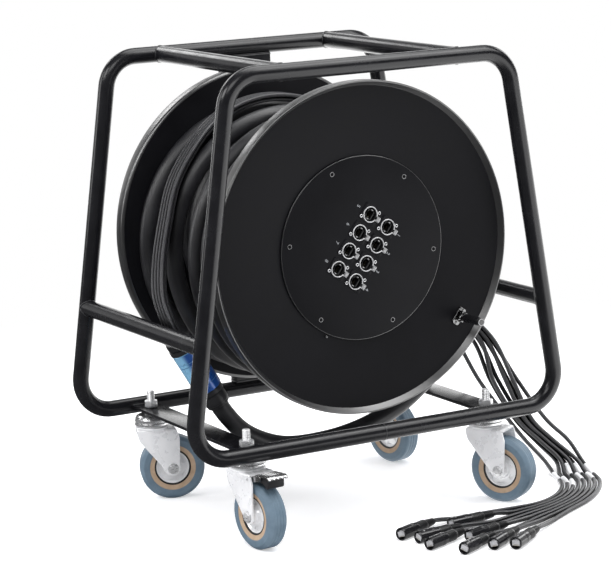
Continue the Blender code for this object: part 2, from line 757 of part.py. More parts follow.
def brake_pedal(fork_item, post):
    # Pin through the fork legs, and a pedal with its brake shoe that turns on the pin
    outer = WHEEL_HUB_WIDTH / 2 + FORK_SIDE_GAP + FORK_WALL
    pin = bmesh.new()
    add_rod(
        pin,
        (PEDAL_PIN_X, -outer + JOIN_SINK, PEDAL_PIN_Z),
        (PEDAL_PIN_X, outer - JOIN_SINK, PEDAL_PIN_Z),
        PEDAL_PIN_D / 2,
        12,
    )
    boolean(fork_item, tool_object("brake_pin", pin, post), "UNION")
    reach = PEDAL_REACH - PEDAL_PIN_X
    knuckle = arc((0.0, 0.0), PEDAL_KNUCKLE_R, 90, 307, 4)
    shoe = [(reach - PEDAL_TIP_INSET, PEDAL_RISE), (PEDAL_NECK, PEDAL_PLATE + PEDAL_NECK_RISE)]
    shoe += knuckle + list(PEDAL_UNDERSIDE)
    shoe += [
        (PEDAL_UNDERSIDE[-1][0], PEDAL_RISE - 2 * PEDAL_PLATE),
        (reach, PEDAL_RISE - PEDAL_PLATE),
    ]
    item = plate("brake_pedal", shoe, PEDAL_WIDTH, PEDAL_STEEL)
    item.data.transform(Matrix.Rotation(math.radians(90.0), 4, "X"))
    bore = bmesh.new()
    add_rod(bore, (0, -PEDAL_WIDTH, 0), (0, PEDAL_WIDTH, 0), PEDAL_PIN_D / 2 + RUN_GAP, 12)
    tool = tool_object("brake_pedal_bore", bore, post)
    tool.location = (PEDAL_PIN_X, 0.0, PEDAL_PIN_Z)
    boolean(item, tool, "DIFFERENCE")
    return place(item, post, (PEDAL_PIN_X, 0.0, PEDAL_PIN_Z))


def casters():
    for corner, (side_x, side_y, trail_angle) in CASTERS.items():
        spot = (side_x * CASTER_X, side_y * CASTER_Y, 0.0)
        post = empty("swivel_" + corner, spot, (0.0, 0.0, math.radians(trail_angle)))
        caster_stem("caster_stem_" + corner, post)
        fork_item = caster_fork("caster_fork_" + corner, post)
        wheel = turned("caster_wheel_" + corner, wheel_profile(), WHEEL_STEPS, TYRE)
        place(wheel, post, (CASTER_TRAIL, 0.0, WHEEL_R), (math.radians(90.0), 0.0, 0.0))
        if corner == BRAKED_CASTER:
            brake_pedal(fork_item, post)


# Drum, in a frame whose X is to the right, Y is up and Z comes out of the front

def flange_profile(bore, outward):
    # Heights run outward from the inner face: a flat web inside a rounded rim
    inner_lip = FLANGE_R - FLANGE_LIP
    edge = FLANGE_ROUND
    side = [
        (inner_lip, FLANGE_RIM_WIDTH),
        (FLANGE_R - edge, FLANGE_RIM_WIDTH),
        (FLANGE_R, FLANGE_RIM_WIDTH - edge),
        (FLANGE_R, edge),
        (FLANGE_R - edge, 0.0),
        (bore, 0.0),
        (bore, FLANGE_WEB),
        (inner_lip - FLANGE_LIP_DRAFT, FLANGE_WEB),
    ]
    if outward > 0:
        return side
    return [(radius, -height) for radius, height in reversed(side)]


def flange(name, axis, bore, inner_height, outward):
    item = turned(name, flange_profile(bore, outward), FLANGE_STEPS, FLANGE_PAINT)
    return place(item, axis, (0.0, 0.0, inner_height))


def hub_radii():
    shaft = SPINDLE_D / 2
    bearing_in = shaft + RUN_GAP
    bearing_out = bearing_in + BEARING_WALL
    hub_in = bearing_out + SEAT_GAP
    return bearing_in, bearing_out, hub_in, hub_in + HUB_WALL


def core_ends():
    back = -(REAR_FLANGE_INNER_Y - SEAT_GAP)
    front = -(FRONT_FLANGE_INNER_Y + SEAT_GAP)
    return back, front


def drum_core(axis):
    # Barrel between the flanges, a web at its rear end, and the hub that takes the bearing
    back, front = core_ends()
    hub_in, hub_out = hub_radii()[2:]
    inside = CORE_R - CORE_WALL
    profile = [
        (CORE_R, front),
        (CORE_R, back),
        (hub_in, back),
        (hub_in, back + HUB_LENGTH),
        (hub_out, back + HUB_LENGTH),
        (hub_out, back + CORE_WEB),
        (inside, back + CORE_WEB),
        (inside, front),
    ]
    return place(turned("drum_core", profile, CORE_STEPS, FLANGE_PAINT), axis)


def hub_bearing(axis):
    back = core_ends()[0]
    inner, outer = hub_radii()[:2]
    low, high = back + BEARING_RECESS, back + HUB_LENGTH - BEARING_RECESS
    profile = [(outer, high), (outer, low), (inner, low), (inner, high)]
    return place(turned("hub_bearing", profile, 20, STEEL), axis)


def snake_pack(axis):
    # The inner layers of the winding, between the core and the loose outer layer
    back, front = core_ends()
    shrink = math.cos(math.radians(COIL_STEP / 2))
    sag = math.hypot(COIL_SAG_X, COIL_SAG_Z)
    outer = COIL_R * shrink - sag - SNAKE_D / 2 - SEAT_GAP
    inner = (CORE_R + SEAT_GAP) / math.cos(math.pi / CORE_STEPS)
    profile = [(outer, front), (outer, back), (inner, back), (inner, front)]
    return place(turned("snake_pack", profile, CORE_STEPS, SNAKE_JACKET), axis)


def socket_frames():
    # Middle of each socket on the panel, two tilted columns. A socket lies on its side in its
    # column, with its latch to the right
    turn = Matrix.Rotation(math.radians(-SOCKET_TILT), 4, "Z")
    lie = Matrix.Rotation(math.radians(-90.0), 4, "Z")
    frames = []
    for column in (-0.5, 0.5):
        for row in range(SOCKET_ROWS):
            v = ((SOCKET_ROWS - 1) / 2 - row) * SOCKET_PITCH_ROW
            frames.append(turn @ Matrix.Translation((column * SOCKET_PITCH_COLUMN, v, 0.0)) @ lie)
    return frames


def socket_panel(axis):
    low = -FRONT_FLANGE_INNER_Y + FLANGE_WEB + SEAT_GAP
    high = low + PANEL_THICK
    profile = [(0.0, high), (PANEL_R, high), (PANEL_R, low), (0.0, low)]
    item = turned("socket_panel", profile, FLANGE_STEPS, FLANGE_PAINT)
    item.data.materials.append(SOCKET_METAL)
    plates, rings, shells, mouths, pockets = (bmesh.new() for _ in range(5))
    face = high + SOCKET_PLATE
    half_w, half_h = SOCKET_WIDTH / 2, SOCKET_HEIGHT / 2
    mouth_w, mouth_h = SOCKET_MOUTH_WIDTH / 2, SOCKET_MOUTH_HEIGHT / 2
    latch_w, latch_h = LATCH_WIDTH / 2 + RUN_GAP, LATCH_HEIGHT / 2 + RUN_GAP
    pocket_floor = face + LATCH_PROUD - LATCH_DEPTH - LATCH_TRAVEL - SEAT_GAP
    for spot in socket_frames():
        add_box(plates, (-half_w, -half_h, high - JOIN_SINK), (half_w, half_h, face), spot)
        centre = spot.translation
        ring_top = Vector((centre.x, centre.y, high + SOCKET_RING_LIFT))
        add_rod(rings, (centre.x, centre.y, high - JOIN_SINK / 2), ring_top, SOCKET_RING_R, 12)
        bottom = (centre.x, centre.y, low - SOCKET_SHELL_DEPTH)
        add_rod(shells, bottom, (centre.x, centre.y, low + JOIN_SINK), SOCKET_SHELL_R, 8)
        mouth_floor = high - SOCKET_MOUTH_DEPTH
        add_box(mouths, (-mouth_w, -mouth_h, mouth_floor), (mouth_w, mouth_h, face + CUT_REACH), spot)
        lift = spot @ Matrix.Translation((0.0, LATCH_RISE, 0.0))
        add_box(pockets, (-latch_w, -latch_h, pocket_floor), (latch_w, latch_h, face + CUT_REACH), lift)
    screws = bmesh.new()
    for i in range(PANEL_SCREWS):
        angle = math.radians(PANEL_SCREW_START + i * 360.0 / PANEL_SCREWS)
        x, y = PANEL_SCREW_RING_R * math.sin(angle), PANEL_SCREW_RING_R * math.cos(angle)
        add_rod(screws, (x, y, high - JOIN_SINK), (x, y, high + PANEL_SCREW_HEAD), PANEL_SCREW_R, 6)
    for name, bm, operation in (
        ("socket_plates", plates, "UNION"),
        ("socket_rings", rings, "UNION"),
        ("socket_shells", shells, "UNION"),
        ("panel_screws", screws, "UNION"),
        ("socket_mouths", mouths, "DIFFERENCE"),
        ("latch_pockets", pockets, "DIFFERENCE"),
    ):
        boolean(item, tool_object(name, bm, axis), operation)
    place(item, axis)
    socket_latches(axis, face)
    return item


def socket_latches(axis, face):
    for i, spot in enumerate(socket_frames()):
        bm = bmesh.new()
        size = (LATCH_WIDTH / 2, LATCH_HEIGHT / 2, 0.0)
        add_box(bm, (-size[0], -size[1], LATCH_PROUD - LATCH_DEPTH), (size[0], size[1], LATCH_PROUD))
        item = mesh_object("socket_latch_%d" % (i + 1), bm, LATCH_METAL)
        centre = spot @ Vector((0.0, LATCH_RISE, 0.0))
        place(item, axis, (centre.x, centre.y, face), spot.to_euler())


def crank(axis):
    # In the crank's frame X runs along the fold pin, Y to the axle and Z out of the flange
    face = -FRONT_FLANGE_INNER_Y + FLANGE_WEB + SEAT_GAP
    inward = math.atan2(CRANK_X, -CRANK_Z)
    seat = empty("crank_seat", (CRANK_X, CRANK_Z, face), (0.0, 0.0, inward), axis)
    ear_in = CRANK_KNUCKLE_WIDTH / 2 + SEAT_GAP
    ear_out = ear_in + CRANK_EAR
    bm = bmesh.new()
    half = CRANK_BASE_LENGTH / 2
    add_box(bm, (-half, -CRANK_BASE_WIDTH / 2, 0.0), (half, CRANK_BASE_WIDTH / 2, CRANK_BASE_THICK))
    base = mesh_object("crank_base", bm, STEEL)
    ears = bmesh.new()
    rounds = bmesh.new()
    for side in (-1, 1):
        low, high = sorted((side * ear_in, side * ear_out))
        width = CRANK_EAR_R - CRANK_EAR_INSET
        add_box(ears, (low, -width, CRANK_BASE_THICK / 2), (high, width, CRANK_PIN_HEIGHT))
        add_rod(rounds, (low, 0, CRANK_PIN_HEIGHT), (high, 0, CRANK_PIN_HEIGHT), CRANK_EAR_R, 10)
    boolean(base, tool_object("crank_ears", ears, seat), "UNION")
    boolean(base, tool_object("crank_ear_rounds", rounds, seat), "UNION")
    pin = bmesh.new()
    reach = ear_out + CRANK_PIN_STICK
    add_rod(pin, (-reach, 0, CRANK_PIN_HEIGHT), (reach, 0, CRANK_PIN_HEIGHT), CRANK_PIN_D / 2, 8)
    boolean(base, tool_object("crank_fold_pin", pin, seat), "UNION")
    place(base, seat)

    # Arm that folds on the pin: knuckle, shank, collar and end disc
    fold = empty("crank_fold_axis", (0.0, 0.0, CRANK_PIN_HEIGHT), (0.0, 0.0, 0.0), seat)
    tip = CRANK_REACH - CRANK_PIN_HEIGHT
    collar = CRANK_EAR_R + CRANK_COLLAR_GAP
    shank_r, grip_r = CRANK_SHANK_D / 2, CRANK_GRIP_D / 2
    arm_profile = [
        (0.0, tip),
        (grip_r, tip),
        (grip_r, tip - CRANK_DISC),
        (shank_r, tip - CRANK_DISC),
        (shank_r, collar + CRANK_DISC),
        (grip_r, collar + CRANK_DISC),
        (grip_r, collar),
        (shank_r, collar),
        (shank_r, CRANK_PIN_D),
        (0.0, CRANK_PIN_D),
    ]
    arm = turned("crank_arm", arm_profile, 12, STEEL)
    knuckle = bmesh.new()
    half = CRANK_KNUCKLE_WIDTH / 2
    add_rod(knuckle, (-half, 0, 0), (half, 0, 0), CRANK_EAR_R - CRANK_KNUCKLE_GAP, 10)
    boolean(arm, tool_object("crank_knuckle", knuckle, fold), "UNION")
    bore = bmesh.new()
    add_rod(bore, (-half * 2, 0, 0), (half * 2, 0, 0), CRANK_PIN_D / 2 + RUN_GAP, 8)
    boolean(arm, tool_object("crank_knuckle_bore", bore, fold), "DIFFERENCE")
    place(arm, fold)
    low = collar + CRANK_DISC + SEAT_GAP
    high = tip - CRANK_DISC - SEAT_GAP
    inner = shank_r + RUN_GAP
    sleeve = [(grip_r, high), (grip_r, low), (inner, low), (inner, high)]
    place(turned("crank_sleeve", sleeve, 12, GLAND_BLACK), fold)


def drum():
    axis = empty("drum_axis", (0.0, 0.0, AXLE_Z), (math.radians(90.0), 0.0, 0.0))
    flange("front_flange", axis, FLANGE_BORE_R, -FRONT_FLANGE_INNER_Y, 1)
    flange("rear_flange", axis, hub_radii()[3] + HUB_HOLE_GAP, -REAR_FLANGE_INNER_Y, -1)
    drum_core(axis)
    hub_bearing(axis)
    snake_pack(axis)
    socket_panel(axis)
    crank(axis)


# Snake cable

def coil_points():
    # The loose outer layer as one unbroken run. It changes from plane to plane low down
    centre_x, centre_z = COIL_SAG_X, AXLE_Z + COIL_SAG_Z
    total = 360.0 * (len(COIL_PLANES) - 1) + COIL_END
    count = round((total - COIL_START) / COIL_STEP)
    spots = []
    for i in range(count + 1):
        angle = COIL_START + i * COIL_STEP
        turn, within = divmod(angle, 360.0)
        turn = int(turn)
        y = COIL_PLANES[min(turn, len(COIL_PLANES) - 1)]
        if turn + 1 < len(COIL_PLANES):
            share = (within - COIL_CROSS_FROM) / (COIL_CROSS_TO - COIL_CROSS_FROM)
            share = min(max(share, 0.0), 1.0)
            ease = share * share * (3.0 - 2.0 * share)
            y += ease * (COIL_PLANES[turn + 1] - y)
        radians = math.radians(angle)
        spots.append(
            Vector((centre_x + COIL_R * math.cos(radians), y, centre_z + COIL_R * math.sin(radians)))
        )
    return spots


def least_gap(spots, diameter, skip):
    # Smallest gap between stretches of the run that aren't neighbours
    fine = []
    for a, b in zip(spots, spots[1:]):
        fine += [a.lerp(b, t / 4) for t in range(4)]
    fine.append(spots[-1])
    least = math.inf
    for i, a in enumerate(fine):
        for b in fine[i + skip * 4:]:
            least = min(least, (a - b).length)
    return least - diameter


def breakout():
    top, bottom = Vector(BREAKOUT_TOP), Vector(BREAKOUT_BOTTOM)
    run = (bottom - top).normalized()
    axis = empty("breakout_axis", top)
    axis.rotation_euler = run.to_track_quat("Z", "Y").to_euler()
    length = (bottom - top).length
    r = BREAKOUT_D / 2
    floor_r = r - BREAKOUT_GROOVE
    groove = [length * share for share in BREAKOUT_GROOVE_SHARES]
    body = [
        (0.0, length),
        (r - BREAKOUT_EDGE, length),
        (r, length - BREAKOUT_EDGE),
        (r, groove[3]),
        (floor_r, groove[2]),
        (floor_r, groove[1]),
        (r, groove[0]),
        (r, BREAKOUT_EDGE),
        (r - BREAKOUT_EDGE, 0.0),
        (0.0, 0.0),
    ]
    place(turned("breakout_tube", body, 16, BLUE_ANODISED), axis)
    seat = GLAND_SEAT_D / 2
    upper = [
        (0.0, -SEAT_GAP),
        (seat, -SEAT_GAP),
        (seat, -GLAND_SEAT_LENGTH),
        (UPPER_GLAND_D / 2, -GLAND_STEP_LENGTH),
        (UPPER_GLAND_D / 2, -GLAND_LENGTH),
        (0.0, -GLAND_LENGTH),
    ]
    place(turned("breakout_gland_upper", upper, 16, GLAND_BLACK), axis)
    lower = [
        (0.0, length + GLAND_LENGTH),
        (LOWER_GLAND_D / 2 - GLAND_NOSE_TAPER, length + GLAND_LENGTH),
        (LOWER_GLAND_D / 2, length + GLAND_STEP_LENGTH),
        (seat, length + GLAND_SEAT_LENGTH),
        (seat, length + SEAT_GAP),
        (0.0, length + SEAT_GAP),
    ]
    place(turned("breakout_gland_lower", lower, 16, GLAND_BLACK), axis)
    return run


def snake(run):
    spots = coil_points()
    tube("snake_coil", spots, SNAKE_D / 2, 1, SNAKE_JACKET)
    print("snake_coil: least gap to itself %.2f mm" % (least_gap(spots, SNAKE_D, 12) * 1000))
    gland = Vector(BREAKOUT_BOTTOM) + run * (GLAND_LENGTH + SEAT_GAP)
    heading = (spots[1] - spots[0]).normalized()
    join = spots[0] - heading * SEAT_GAP
    points = [gland, gland + run * SNAKE_D]
    for angle, radius, y in SLACK_ROUTE:
        radians = math.radians(angle)
        points.append(Vector((radius * math.cos(radians), y, AXLE_Z + radius * math.sin(radians))))
    points += [join - heading * SNAKE_D, join]
    route = smooth_route(points, 2.0 * SNAKE_D)
    tube("snake_slack", route, SNAKE_D / 2, 2, SNAKE_JACKET)
    print("snake: %.2f m wound, %.2f m slack" % (route_length(spots), route_length(route)))


def between(station, k):
    first, last = (Vector(value) for value in station)
    return first.lerp(last, k / (TAIL_COUNT - 1))


def rise_points(lane, sign):
    middles = [Vector(middle) for middle, _ in RISE_STATIONS]
    points = []
    for i, (_, pitch) in enumerate(RISE_STATIONS):
        way = middles[min(i + 1, len(middles) - 1)] - middles[max(i - 1, 0)]
        inward = Vector((way.z, 0.0, -way.x)).normalized()
        spot = middles[i] + inward * sign * TAIL_LAYER_STEP / 2
        spot.y += (lane + sign / 4) * pitch
        points.append(spot)
    return points


def tail_points(k, run):
    # From the upper gland, over the winding, down the right side and along the floor
    lateral = Vector((0.0, 1.0, 0.0))
    lateral = (lateral - run * lateral.dot(run)).normalized()
    out = run.cross(lateral).normalized()
    if out.x < 0.0:
        out = -out
    mouth = Vector(BREAKOUT_TOP) - run * (GLAND_LENGTH + SEAT_GAP)
    sign = 1.0 if k % 2 else -1.0
    exit_point = mouth + lateral * (k - (TAIL_COUNT - 1) / 2) * TAIL_EXIT_STEP + out * sign * TAIL_EXIT_ROW
    points = [exit_point, exit_point - run * TAIL_D]
    lane = k // 2 - (TAIL_COUNT // 2 - 1) / 2
    points += rise_points(lane, sign)
    radius = TAIL_INNER_RADIUS + (0.0 if k % 2 else TAIL_LAYER_STEP)
    first_wound = len(points) + 1
    for angle, middle in TAIL_BAND:
        radians = math.radians(angle)
        x = COIL_SAG_X + radius * math.cos(radians)
        y = middle + (lane + sign / 4) * TAIL_LANE_PITCH
        z = AXLE_Z + COIL_SAG_Z + radius * math.sin(radians)
        points.append(Vector((x, y, z)))
    wound = range(first_wound, len(points))
    points += [Vector(spot) for spot in FALL_POINTS[k]]
    points += [between(station, k) for station in FLOOR_STATIONS]
    (nose_x, nose_y), heading, floor_points = PLUG_PLACES[k]
    floor_z = TAIL_D / 2 + SEAT_GAP
    points += [Vector((x, y, floor_z)) for x, y in floor_points]
    direction = Vector((math.cos(math.radians(heading)), math.sin(math.radians(heading)), 0.0))
    length = PLUG_SHELL_LENGTH + PLUG_BACK_LENGTH + PLUG_BOOT_LENGTH
    back = Vector((nose_x, nose_y, PLUG_D / 2 + SEAT_GAP)) + direction * (length + SEAT_GAP)
    points += [back + direction * TAIL_D, back]
    route = smooth_route(points, TAIL_POINT_STEP, wound)
    for point in route:
        point.z = max(point.z, floor_z)
    return route


def plug(k):
    (nose_x, nose_y), heading, _ = PLUG_PLACES[k]
    shell = PLUG_SHELL_LENGTH
    back = shell + PLUG_BACK_LENGTH
    end = back + PLUG_BOOT_LENGTH
    profile = [
        (0.0, end),
        (PLUG_BOOT_D / 2, end),
        (PLUG_BOOT_D / 2 + PLUG_BOOT_FLARE, back + PLUG_BOOT_ROOT),
        (PLUG_BACK_D / 2, back - PLUG_BACK_TAPER),
        (PLUG_BACK_D / 2, shell),
        (PLUG_D / 2, shell - PLUG_SHELL_STEP),
        (PLUG_D / 2, 0.0),
        (PLUG_MOUTH_D / 2, 0.0),
        (PLUG_MOUTH_D / 2, PLUG_MOUTH_DEPTH),
        (0.0, PLUG_MOUTH_DEPTH),
    ]
    item = turned("plug_%d" % (k + 1), profile, 8, PLUG_SHELL)
    item.location = (nose_x, nose_y, PLUG_D / 2 + SEAT_GAP)
    item.rotation_euler = (0.0, math.radians(90.0), math.radians(heading))


def tails(run):
    for k in range(TAIL_COUNT):
        route = tail_points(k, run)
        tube("tail_%d" % (k + 1), route, TAIL_D / 2, 2, TAIL_JACKET)
        plug(k)
        print("tail_%d: %.2f m, %d points" % (k + 1, route_length(route), len(route)))


def stand_on_base():
    # The origin goes under the middle of the stand, measured without the loose cable
    bpy.context.view_layer.update()
    graph = bpy.context.evaluated_depsgraph_get()
    loose = ("snake_slack", "snake_coil", "breakout", "tail_", "plug_")
    lows, highs = [], []
    for item in PARTS.objects:
        if item.type == "EMPTY" or item.name.startswith(loose):
            continue
        shape = item.evaluated_get(graph)
        spots = [shape.matrix_world @ vertex.co for vertex in shape.to_mesh().vertices]
        lows.append([min(spot[i] for spot in spots) for i in range(3)])
        highs.append([max(spot[i] for spot in spots) for i in range(3)])
        shape.to_mesh_clear()
    middle = [(min(low[i] for low in lows) + max(high[i] for high in highs)) / 2 for i in range(2)]
    shift = Vector((-middle[0], -middle[1], -min(low[2] for low in lows)))
    print("origin shift: %.6f %.6f %.6f" % tuple(shift))
    for item in list(PARTS.objects) + list(CUTTERS.objects):
        if item.parent is None:
            item.location += shift


def build():
    frame()
    casters()
    drum()
    run = breakout()
    snake(run)
    tails(run)
    stand_on_base()


build()
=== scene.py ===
import math

import bmesh
import bpy
from mathutils import Matrix, Vector


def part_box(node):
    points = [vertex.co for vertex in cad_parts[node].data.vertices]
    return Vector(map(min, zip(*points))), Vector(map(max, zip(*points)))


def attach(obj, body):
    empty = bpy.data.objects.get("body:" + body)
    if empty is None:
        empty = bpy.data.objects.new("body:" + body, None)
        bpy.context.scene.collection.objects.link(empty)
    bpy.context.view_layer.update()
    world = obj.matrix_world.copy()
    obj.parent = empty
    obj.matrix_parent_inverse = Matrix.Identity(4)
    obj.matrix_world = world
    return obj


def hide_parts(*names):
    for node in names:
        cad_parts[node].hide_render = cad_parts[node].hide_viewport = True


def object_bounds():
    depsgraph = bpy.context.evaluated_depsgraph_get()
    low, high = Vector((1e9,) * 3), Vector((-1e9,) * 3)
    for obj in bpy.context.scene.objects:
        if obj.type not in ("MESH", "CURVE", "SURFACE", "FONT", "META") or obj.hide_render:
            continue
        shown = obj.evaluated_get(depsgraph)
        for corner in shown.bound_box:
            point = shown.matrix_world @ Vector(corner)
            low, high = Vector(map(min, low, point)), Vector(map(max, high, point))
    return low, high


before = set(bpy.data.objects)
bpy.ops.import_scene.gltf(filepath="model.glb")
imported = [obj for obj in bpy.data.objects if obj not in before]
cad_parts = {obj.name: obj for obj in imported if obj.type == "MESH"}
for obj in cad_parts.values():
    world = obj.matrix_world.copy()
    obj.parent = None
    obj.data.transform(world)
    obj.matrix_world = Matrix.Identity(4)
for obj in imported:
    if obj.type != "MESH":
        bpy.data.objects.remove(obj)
cadLow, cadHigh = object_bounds()

# Metres. Shapes are drawn with the axle over the origin, then moved back by shiftY with the stand
base = {
    "loopY": 0.193,
    "axleZ": 0.412,
    "seatGap": 0.0003,
    "sharpAngle": 38.0,
    "mergeGap": 0.000004,
    "fineMergeGap": 0.000002,
    "nearGap": 0.00001,
}
loopLow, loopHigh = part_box("front_loop")
shiftY = (loopLow.y + loopHigh.y) / 2 + base["loopY"]
drumPlace = Matrix.Translation((0.0, 0.0, base["axleZ"])) @ Matrix.Rotation(math.pi / 2, 4, "X")


# Shapes

def pointOnArc(centre, radius, angle):
    radians = math.radians(angle)
    return Vector((centre[0] + radius * math.cos(radians), centre[1] + radius * math.sin(radians)))


def moved(x, y, z):
    return Matrix.Translation((x, y, z))


def turned(angle, axis):
    return Matrix.Rotation(math.radians(angle), 4, axis)


def roundCorners(points, radius, steps, closed=False):
    # The outline with an arc at each corner
    points = [Vector(point) for point in points]
    count = len(points)
    outline = []
    for i, corner in enumerate(points):
        before = points[i - 1] - corner
        after = points[(i + 1) % count] - corner
        isEnd = not closed and i in (0, count - 1)
        if isEnd or before.angle(after) > 3.1:
            outline.append(corner)
            continue
        half = before.angle(after) / 2
        reach = min(radius / math.tan(half), before.length * 0.49, after.length * 0.49)
        bend = reach * math.tan(half)
        inward = (before.normalized() + after.normalized()).normalized()
        middle = corner + inward * bend / math.sin(half)
        first = corner + before.normalized() * reach - middle
        last = corner + after.normalized() * reach - middle
        start = math.atan2(first.y, first.x)
        sweep = (math.atan2(last.y, last.x) - start + math.pi) % (2 * math.pi) - math.pi
        for j in range(steps + 1):
            angle = start + sweep * j / steps
            outline.append(middle + Vector((math.cos(angle), math.sin(angle))) * bend)
    return outline


def spun(profile, steps, closed=False):
    # A profile of (radius, height) points turned about Z
    bm = bmesh.new()
    corners = [bm.verts.new((radius, 0.0, height)) for radius, height in profile]
    edges = [bm.edges.new(pair) for pair in zip(corners, corners[1:])]
    if closed:
        edges.append(bm.edges.new((corners[-1], corners[0])))
    bmesh.ops.spin(
        bm,
        geom=corners + edges,
        cent=(0.0, 0.0, 0.0),
        axis=(0.0, 0.0, 1.0),
        dvec=(0.0, 0.0, 0.0),
        angle=2 * math.pi,
        steps=steps,
        use_merge=True,
        use_normal_flip=False,
        use_duplicate=False,
    )
    bmesh.ops.remove_doubles(bm, verts=bm.verts, dist=base["mergeGap"])
    bmesh.ops.recalc_face_normals(bm, faces=bm.faces)
    return bm


def bevelled(bm, edges, width, segments, clamp=False):
    bmesh.ops.bevel(
        bm,
        geom=edges,
        offset=width,
        segments=segments,
        profile=0.5,
        affect="EDGES",
        material=-1,
        clamp_overlap=clamp,
    )
    return bm


def softEdges(bm, width, segments=2, angle=40.0):
    sharp = [
        edge
        for edge in bm.edges
        if len(edge.link_faces) == 2 and edge.calc_face_angle(0.0) > math.radians(angle)
    ]
    return bevelled(bm, sharp, width, segments, clamp=True)


def block(low, high, edge=0.0, segments=2):
    low, high = Vector(low), Vector(high)
    bm = bmesh.new()
    place = Matrix.Translation((low + high) / 2) @ Matrix.Diagonal((*(high - low), 1.0))
    bmesh.ops.create_cube(bm, size=1.0, matrix=place)
    return softEdges(bm, edge, segments) if edge else bm


def rod(start, end, radius, sides, edge=0.0, topRadius=None, segments=2):
    start, end = Vector(start), Vector(end)
    turn = (end - start).to_track_quat("Z", "Y").to_matrix().to_4x4()
    bm = bmesh.new()
    bmesh.ops.create_cone(
        bm,
        cap_ends=True,
        cap_tris=False,
        segments=sides,
        radius1=radius,
        radius2=radius if topRadius is None else topRadius,
        depth=(end - start).length,
        matrix=Matrix.Translation((start + end) / 2) @ turn,
    )
    return softEdges(bm, edge, segments, 70.0 if sides > 8 else 40.0) if edge else bm


def slab(outline, low, high, edge=0.0, segments=2):
    # A flat outline in XY given thickness along Z
    bm = bmesh.new()
    face = bm.faces.new([bm.verts.new((x, y, low)) for x, y in outline])
    made = bmesh.ops.extrude_face_region(bm, geom=[face])["geom"]
    top = [item for item in made if isinstance(item, bmesh.types.BMVert)]
    bmesh.ops.translate(bm, verts=top, vec=(0.0, 0.0, high - low))
    bmesh.ops.recalc_face_normals(bm, faces=bm.faces)
    return softEdges(bm, edge, segments) if edge else bm


def placed(bm, matrix):
    bmesh.ops.transform(bm, matrix=matrix, verts=bm.verts)
    return bm


def together(*lumps):
    whole = bmesh.new()
    for lump in lumps:
        mesh = bpy.data.meshes.new("lump")
        lump.to_mesh(mesh)
        lump.free()
        whole.from_mesh(mesh)
        bpy.data.meshes.remove(mesh)
    return whole


def carved(bm, tool, operation="DIFFERENCE"):
    # One exact boolean of two closed shapes
    pair = []
    for shape in (bm, tool):
        mesh = bpy.data.meshes.new("carving")
        shape.to_mesh(mesh)
        shape.free()
        item = bpy.data.objects.new("carving", mesh)
        bpy.context.scene.collection.objects.link(item)
        pair.append(item)
    change = pair[0].modifiers.new("carve", "BOOLEAN")
    change.operation = operation
    change.solver = "EXACT"
    change.object = pair[1]
    graph = bpy.context.evaluated_depsgraph_get()
    mesh = bpy.data.meshes.new_from_object(pair[0].evaluated_get(graph))
    result = bmesh.new()
    result.from_mesh(mesh)
    bmesh.ops.remove_doubles(result, verts=result.verts, dist=base["fineMergeGap"])
    for item in pair:
        bpy.data.objects.remove(item, do_unlink=True)
    return result


def routeFrames(path, closed=False):
    # A frame at each point whose Z follows the path, with as little twist as can be
    count = len(path)
    headings = []
    for i, here in enumerate(path):
        before = path[i - 1] if closed or i else here
        after = path[(i + 1) % count] if closed or i < count - 1 else here
        headings.append((after - before).normalized())
    side = headings[0].orthogonal().normalized()
    frames = []
    for i, heading in enumerate(headings):
        if i:
            side = headings[i - 1].rotation_difference(heading) @ side
        side = (side - heading * side.dot(heading)).normalized()
        turn = Matrix((side, heading.cross(side), heading)).transposed().to_4x4()
        frames.append(Matrix.Translation(path[i]) @ turn)
    return frames


def swept(path, radius, sides, closed=False, radii=None):
    # A ring carried along the path. Its UV map runs round the ring and along it in metres
    frames = routeFrames(path, closed)
    sizes = [Matrix.Diagonal((r, r, 1.0, 1.0)) for r in (radii or [radius] * len(path))]
    frames = [place @ size for place, size in zip(frames, sizes)]
    inverses = [place.inverted() for place in frames]
    bm = bmesh.new()
    uvMap = bm.loops.layers.uv.new("alongCord")
    ring = bmesh.ops.create_circle(bm, cap_ends=False, segments=sides, radius=1.0, matrix=frames[0])
    edges = list({edge for vert in ring["verts"] for edge in vert.link_edges})
    startEdges = edges
    along = 0.0
    for i in range(1, len(path)):
        made = bmesh.ops.extrude_edge_only(bm, edges=edges)["geom"]
        verts = {item for item in made if isinstance(item, bmesh.types.BMVert)}
        edges = [
            item
            for item in made
            if isinstance(item, bmesh.types.BMEdge) and all(vert in verts for vert in item.verts)
        ]
        bmesh.ops.transform(bm, matrix=frames[i] @ inverses[i - 1], verts=list(verts))
        step = (path[i] - path[i - 1]).length
        for face in {face for edge in edges for face in edge.link_faces}:
            middle = inverses[i - 1] @ face.calc_center_median()
            middleTurn = math.atan2(middle.y, middle.x) / (2 * math.pi)
            for corner in face.loops:
                isNew = corner.vert in verts
                spot = inverses[i if isNew else i - 1] @ corner.vert.co
                turn = math.atan2(spot.y, spot.x) / (2 * math.pi)
                turn += round(middleTurn - turn)
                corner[uvMap].uv = (turn, along + (step if isNew else 0.0))
        along += step
    if closed:
        bmesh.ops.bridge_loops(bm, edges=startEdges + edges)
    else:
        for rim in (startEdges, edges):
            bmesh.ops.contextual_create(bm, geom=rim)
    bmesh.ops.recalc_face_normals(bm, faces=bm.faces)
    return bm


